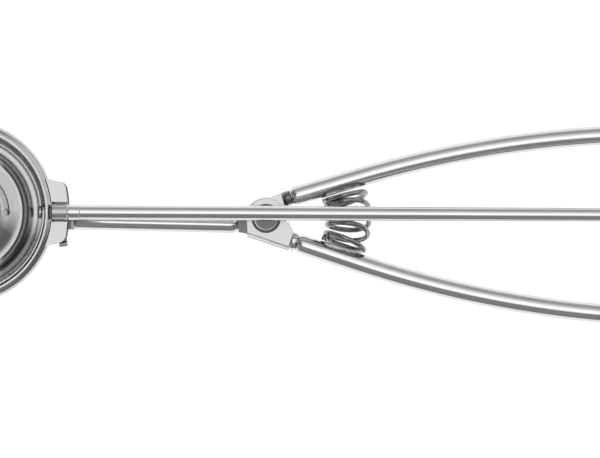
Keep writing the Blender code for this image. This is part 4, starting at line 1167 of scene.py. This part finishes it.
def spring_path():
    """Points along the wire: a straight leg, a bend, the coil, and a bend and leg again."""
    start, end = SPRING_PHASES[0] + SPRING_LEAD, SPRING_PHASES[-1] - SPRING_LEAD
    step = (end - start) / SPRING_POINTS
    coil = [spring_point(start + step * index) for index in range(SPRING_POINTS + 1)]
    low_tip, low_inner = spring_leg(-1)
    high_tip, high_inner = spring_leg(1)
    speed = SPRING_LEG * 2
    way_in = (low_inner - low_tip).normalized() * speed
    way_out = (high_tip - high_inner).normalized() * speed
    coil_in = (coil[1] - coil[0]).normalized() * speed
    coil_out = (coil[-1] - coil[-2]).normalized() * speed
    shares = [index / SPRING_BENDS for index in range(1, SPRING_BENDS)]
    path = [low_tip, low_inner]
    path += [hermite(low_inner, way_in, coil[0], coil_in, share) for share in shares]
    path += coil
    path += [hermite(coil[-1], coil_out, high_inner, way_out, share) for share in shares]
    return path + [high_inner, high_tip]


def make_spring():
    """One wire swept along its path."""
    path = spring_path()
    aside = Vector((0, 0, 1))
    stations = []
    length = 0.0
    for index, centre in enumerate(path):
        ahead = path[min(index + 1, len(path) - 1)] - path[max(index - 1, 0)]
        ahead.normalize()
        if index:
            length += (centre - path[index - 1]).length
        aside = (aside - ahead * aside.dot(ahead)).normalized()
        stations.append((centre, aside, ahead.cross(aside), SPRING_WIRE, length))
    item = sweep("coil_spring", stations, 20, caps=True)
    finish(item, "frame", WIRE_STEEL, ["return_spring"], 50)
    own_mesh(item)


# Studio

def make_world():
    """The sky that the steels reflect: one round X for the sides, and one for each end of X."""
    world = bpy.data.worlds.new("studio")
    bpy.context.scene.world = world
    world.use_nodes = True
    tree = world.node_tree
    view = tree.nodes.new("ShaderNodeTexCoord").outputs["Generated"]
    parts = node(tree, "ShaderNodeSeparateXYZ", {"Vector": view})
    turn = calculated(tree, "ARCTAN2", parts["Y"], parts["Z"])
    sky = ramp(tree, turn, SIDE_SKY, DEGREE)
    level = node(tree, "ShaderNodeCombineXYZ", {"X": parts["X"], "Y": parts["Y"]})["Vector"]
    bearing = node(tree, "ShaderNodeVectorMath", {0: level}, operation="NORMALIZE")["Vector"]
    ahead = node(tree, "ShaderNodeSeparateXYZ", {"Vector": bearing})
    tilt = calculated(tree, "ARCCOSINE", parts["Z"])
    leaning = ranged(tree, tilt, DIM_TILT[0] * DEGREE, DIM_TILT[1] * DEGREE, 0.0, 1.0)
    for stops, (begin, full), (dim_from, dim_to), dim in (FAR_END, NEAR_END):
        aside = ranged(tree, ahead["Y"], dim_from, dim_to, dim, 0.0)
        shade = calculated(tree, "MULTIPLY", leaning, aside)
        rest = calculated(tree, "SUBTRACT", 1.0, shade)
        end = darken(tree, ramp(tree, tilt, stops, DEGREE), rest)
        sky = blended(tree, sky, end, ranged(tree, ahead["X"], begin, full, 0.0, 1.0))
    link(tree, sky, tree.nodes["Background"].inputs["Color"])


def make_floor():
    """White paper just below the bowl."""
    half = FLOOR_HALF
    low = AXLE_Z - BOWL_OUTER - FLOOR_GAP
    corners = [(-half, -half, low), (half, -half, low), (half, half, low), (-half, half, low)]
    item = mesh_object("floor", corners, [[0, 1, 2, 3]])
    made = bpy.data.materials.new("floor_paper")
    made.use_nodes = True
    shader = made.node_tree.nodes["Principled BSDF"]
    shader.inputs["Base Color"].default_value = (FLOOR_GREY, FLOOR_GREY, FLOOR_GREY, 1)
    shader.inputs["Roughness"].default_value = 0.9
    shader.inputs["Specular IOR Level"].default_value = 0.0
    item.data.materials.append(made)


def make_light():
    """A wide lamp overhead that leaves no shadow and no reflection of itself."""
    data = bpy.data.lights.new("overhead", "AREA")
    data.shape = "SQUARE"
    data.size = LIGHT_SIDE
    data.energy = LIGHT_WATTS
    data.use_shadow = False
    item = bpy.data.objects.new("overhead", data)
    item.location = LIGHT_PLACE
    item.visible_glossy = False
    bpy.context.scene.collection.objects.link(item)


def make_camera():
    """A long lens straight above the photo's middle, turned a little with the scoop's lie in it."""
    data = bpy.data.cameras.new("camera")
    item = bpy.data.objects.new("camera", data)
    bpy.context.scene.collection.objects.link(item)
    aim = Vector((*CAMERA_AIM, ROD_Z)) + HOME
    item.location = (aim + Vector((0, 0, CAMERA_DISTANCE))) * MM
    item.rotation_euler = (0, 0, CAMERA_TURN)
    data.sensor_width = 36.0
    data.lens = data.sensor_width * CAMERA_DISTANCE / CAMERA_WIDTH
    bpy.context.scene.camera = item


make_bowl()
make_blade()
make_axle()
make_pole()
make_bush()
eased_copy("pinion", "pinion_gear", 0.05, "scraper", GEAR_STEEL)
eased_copy("rack_segment", "rack_sector", 0.06, "upper_lever", GEAR_STEEL)
make_housing()
make_ferrule()
make_collar()
make_rod()
make_boss()
make_rivet()
make_lever_plate()
make_clevis()
make_clevis_ring()
make_handle(1, UPPER_START, "upper_grip", "upper_lever", "upper_handle")
make_handle(-1, LOWER_START, "lower_grip", "lower_lever", "lower_handle")
make_rack_rod()
make_spring()
make_world()
make_floor()
make_light()
make_camera()
bpy.context.scene.view_settings.view_transform = "Standard"
bpy.context.scene.cycles.max_bounces = 14
bpy.context.scene.cycles.glossy_bounces = 12
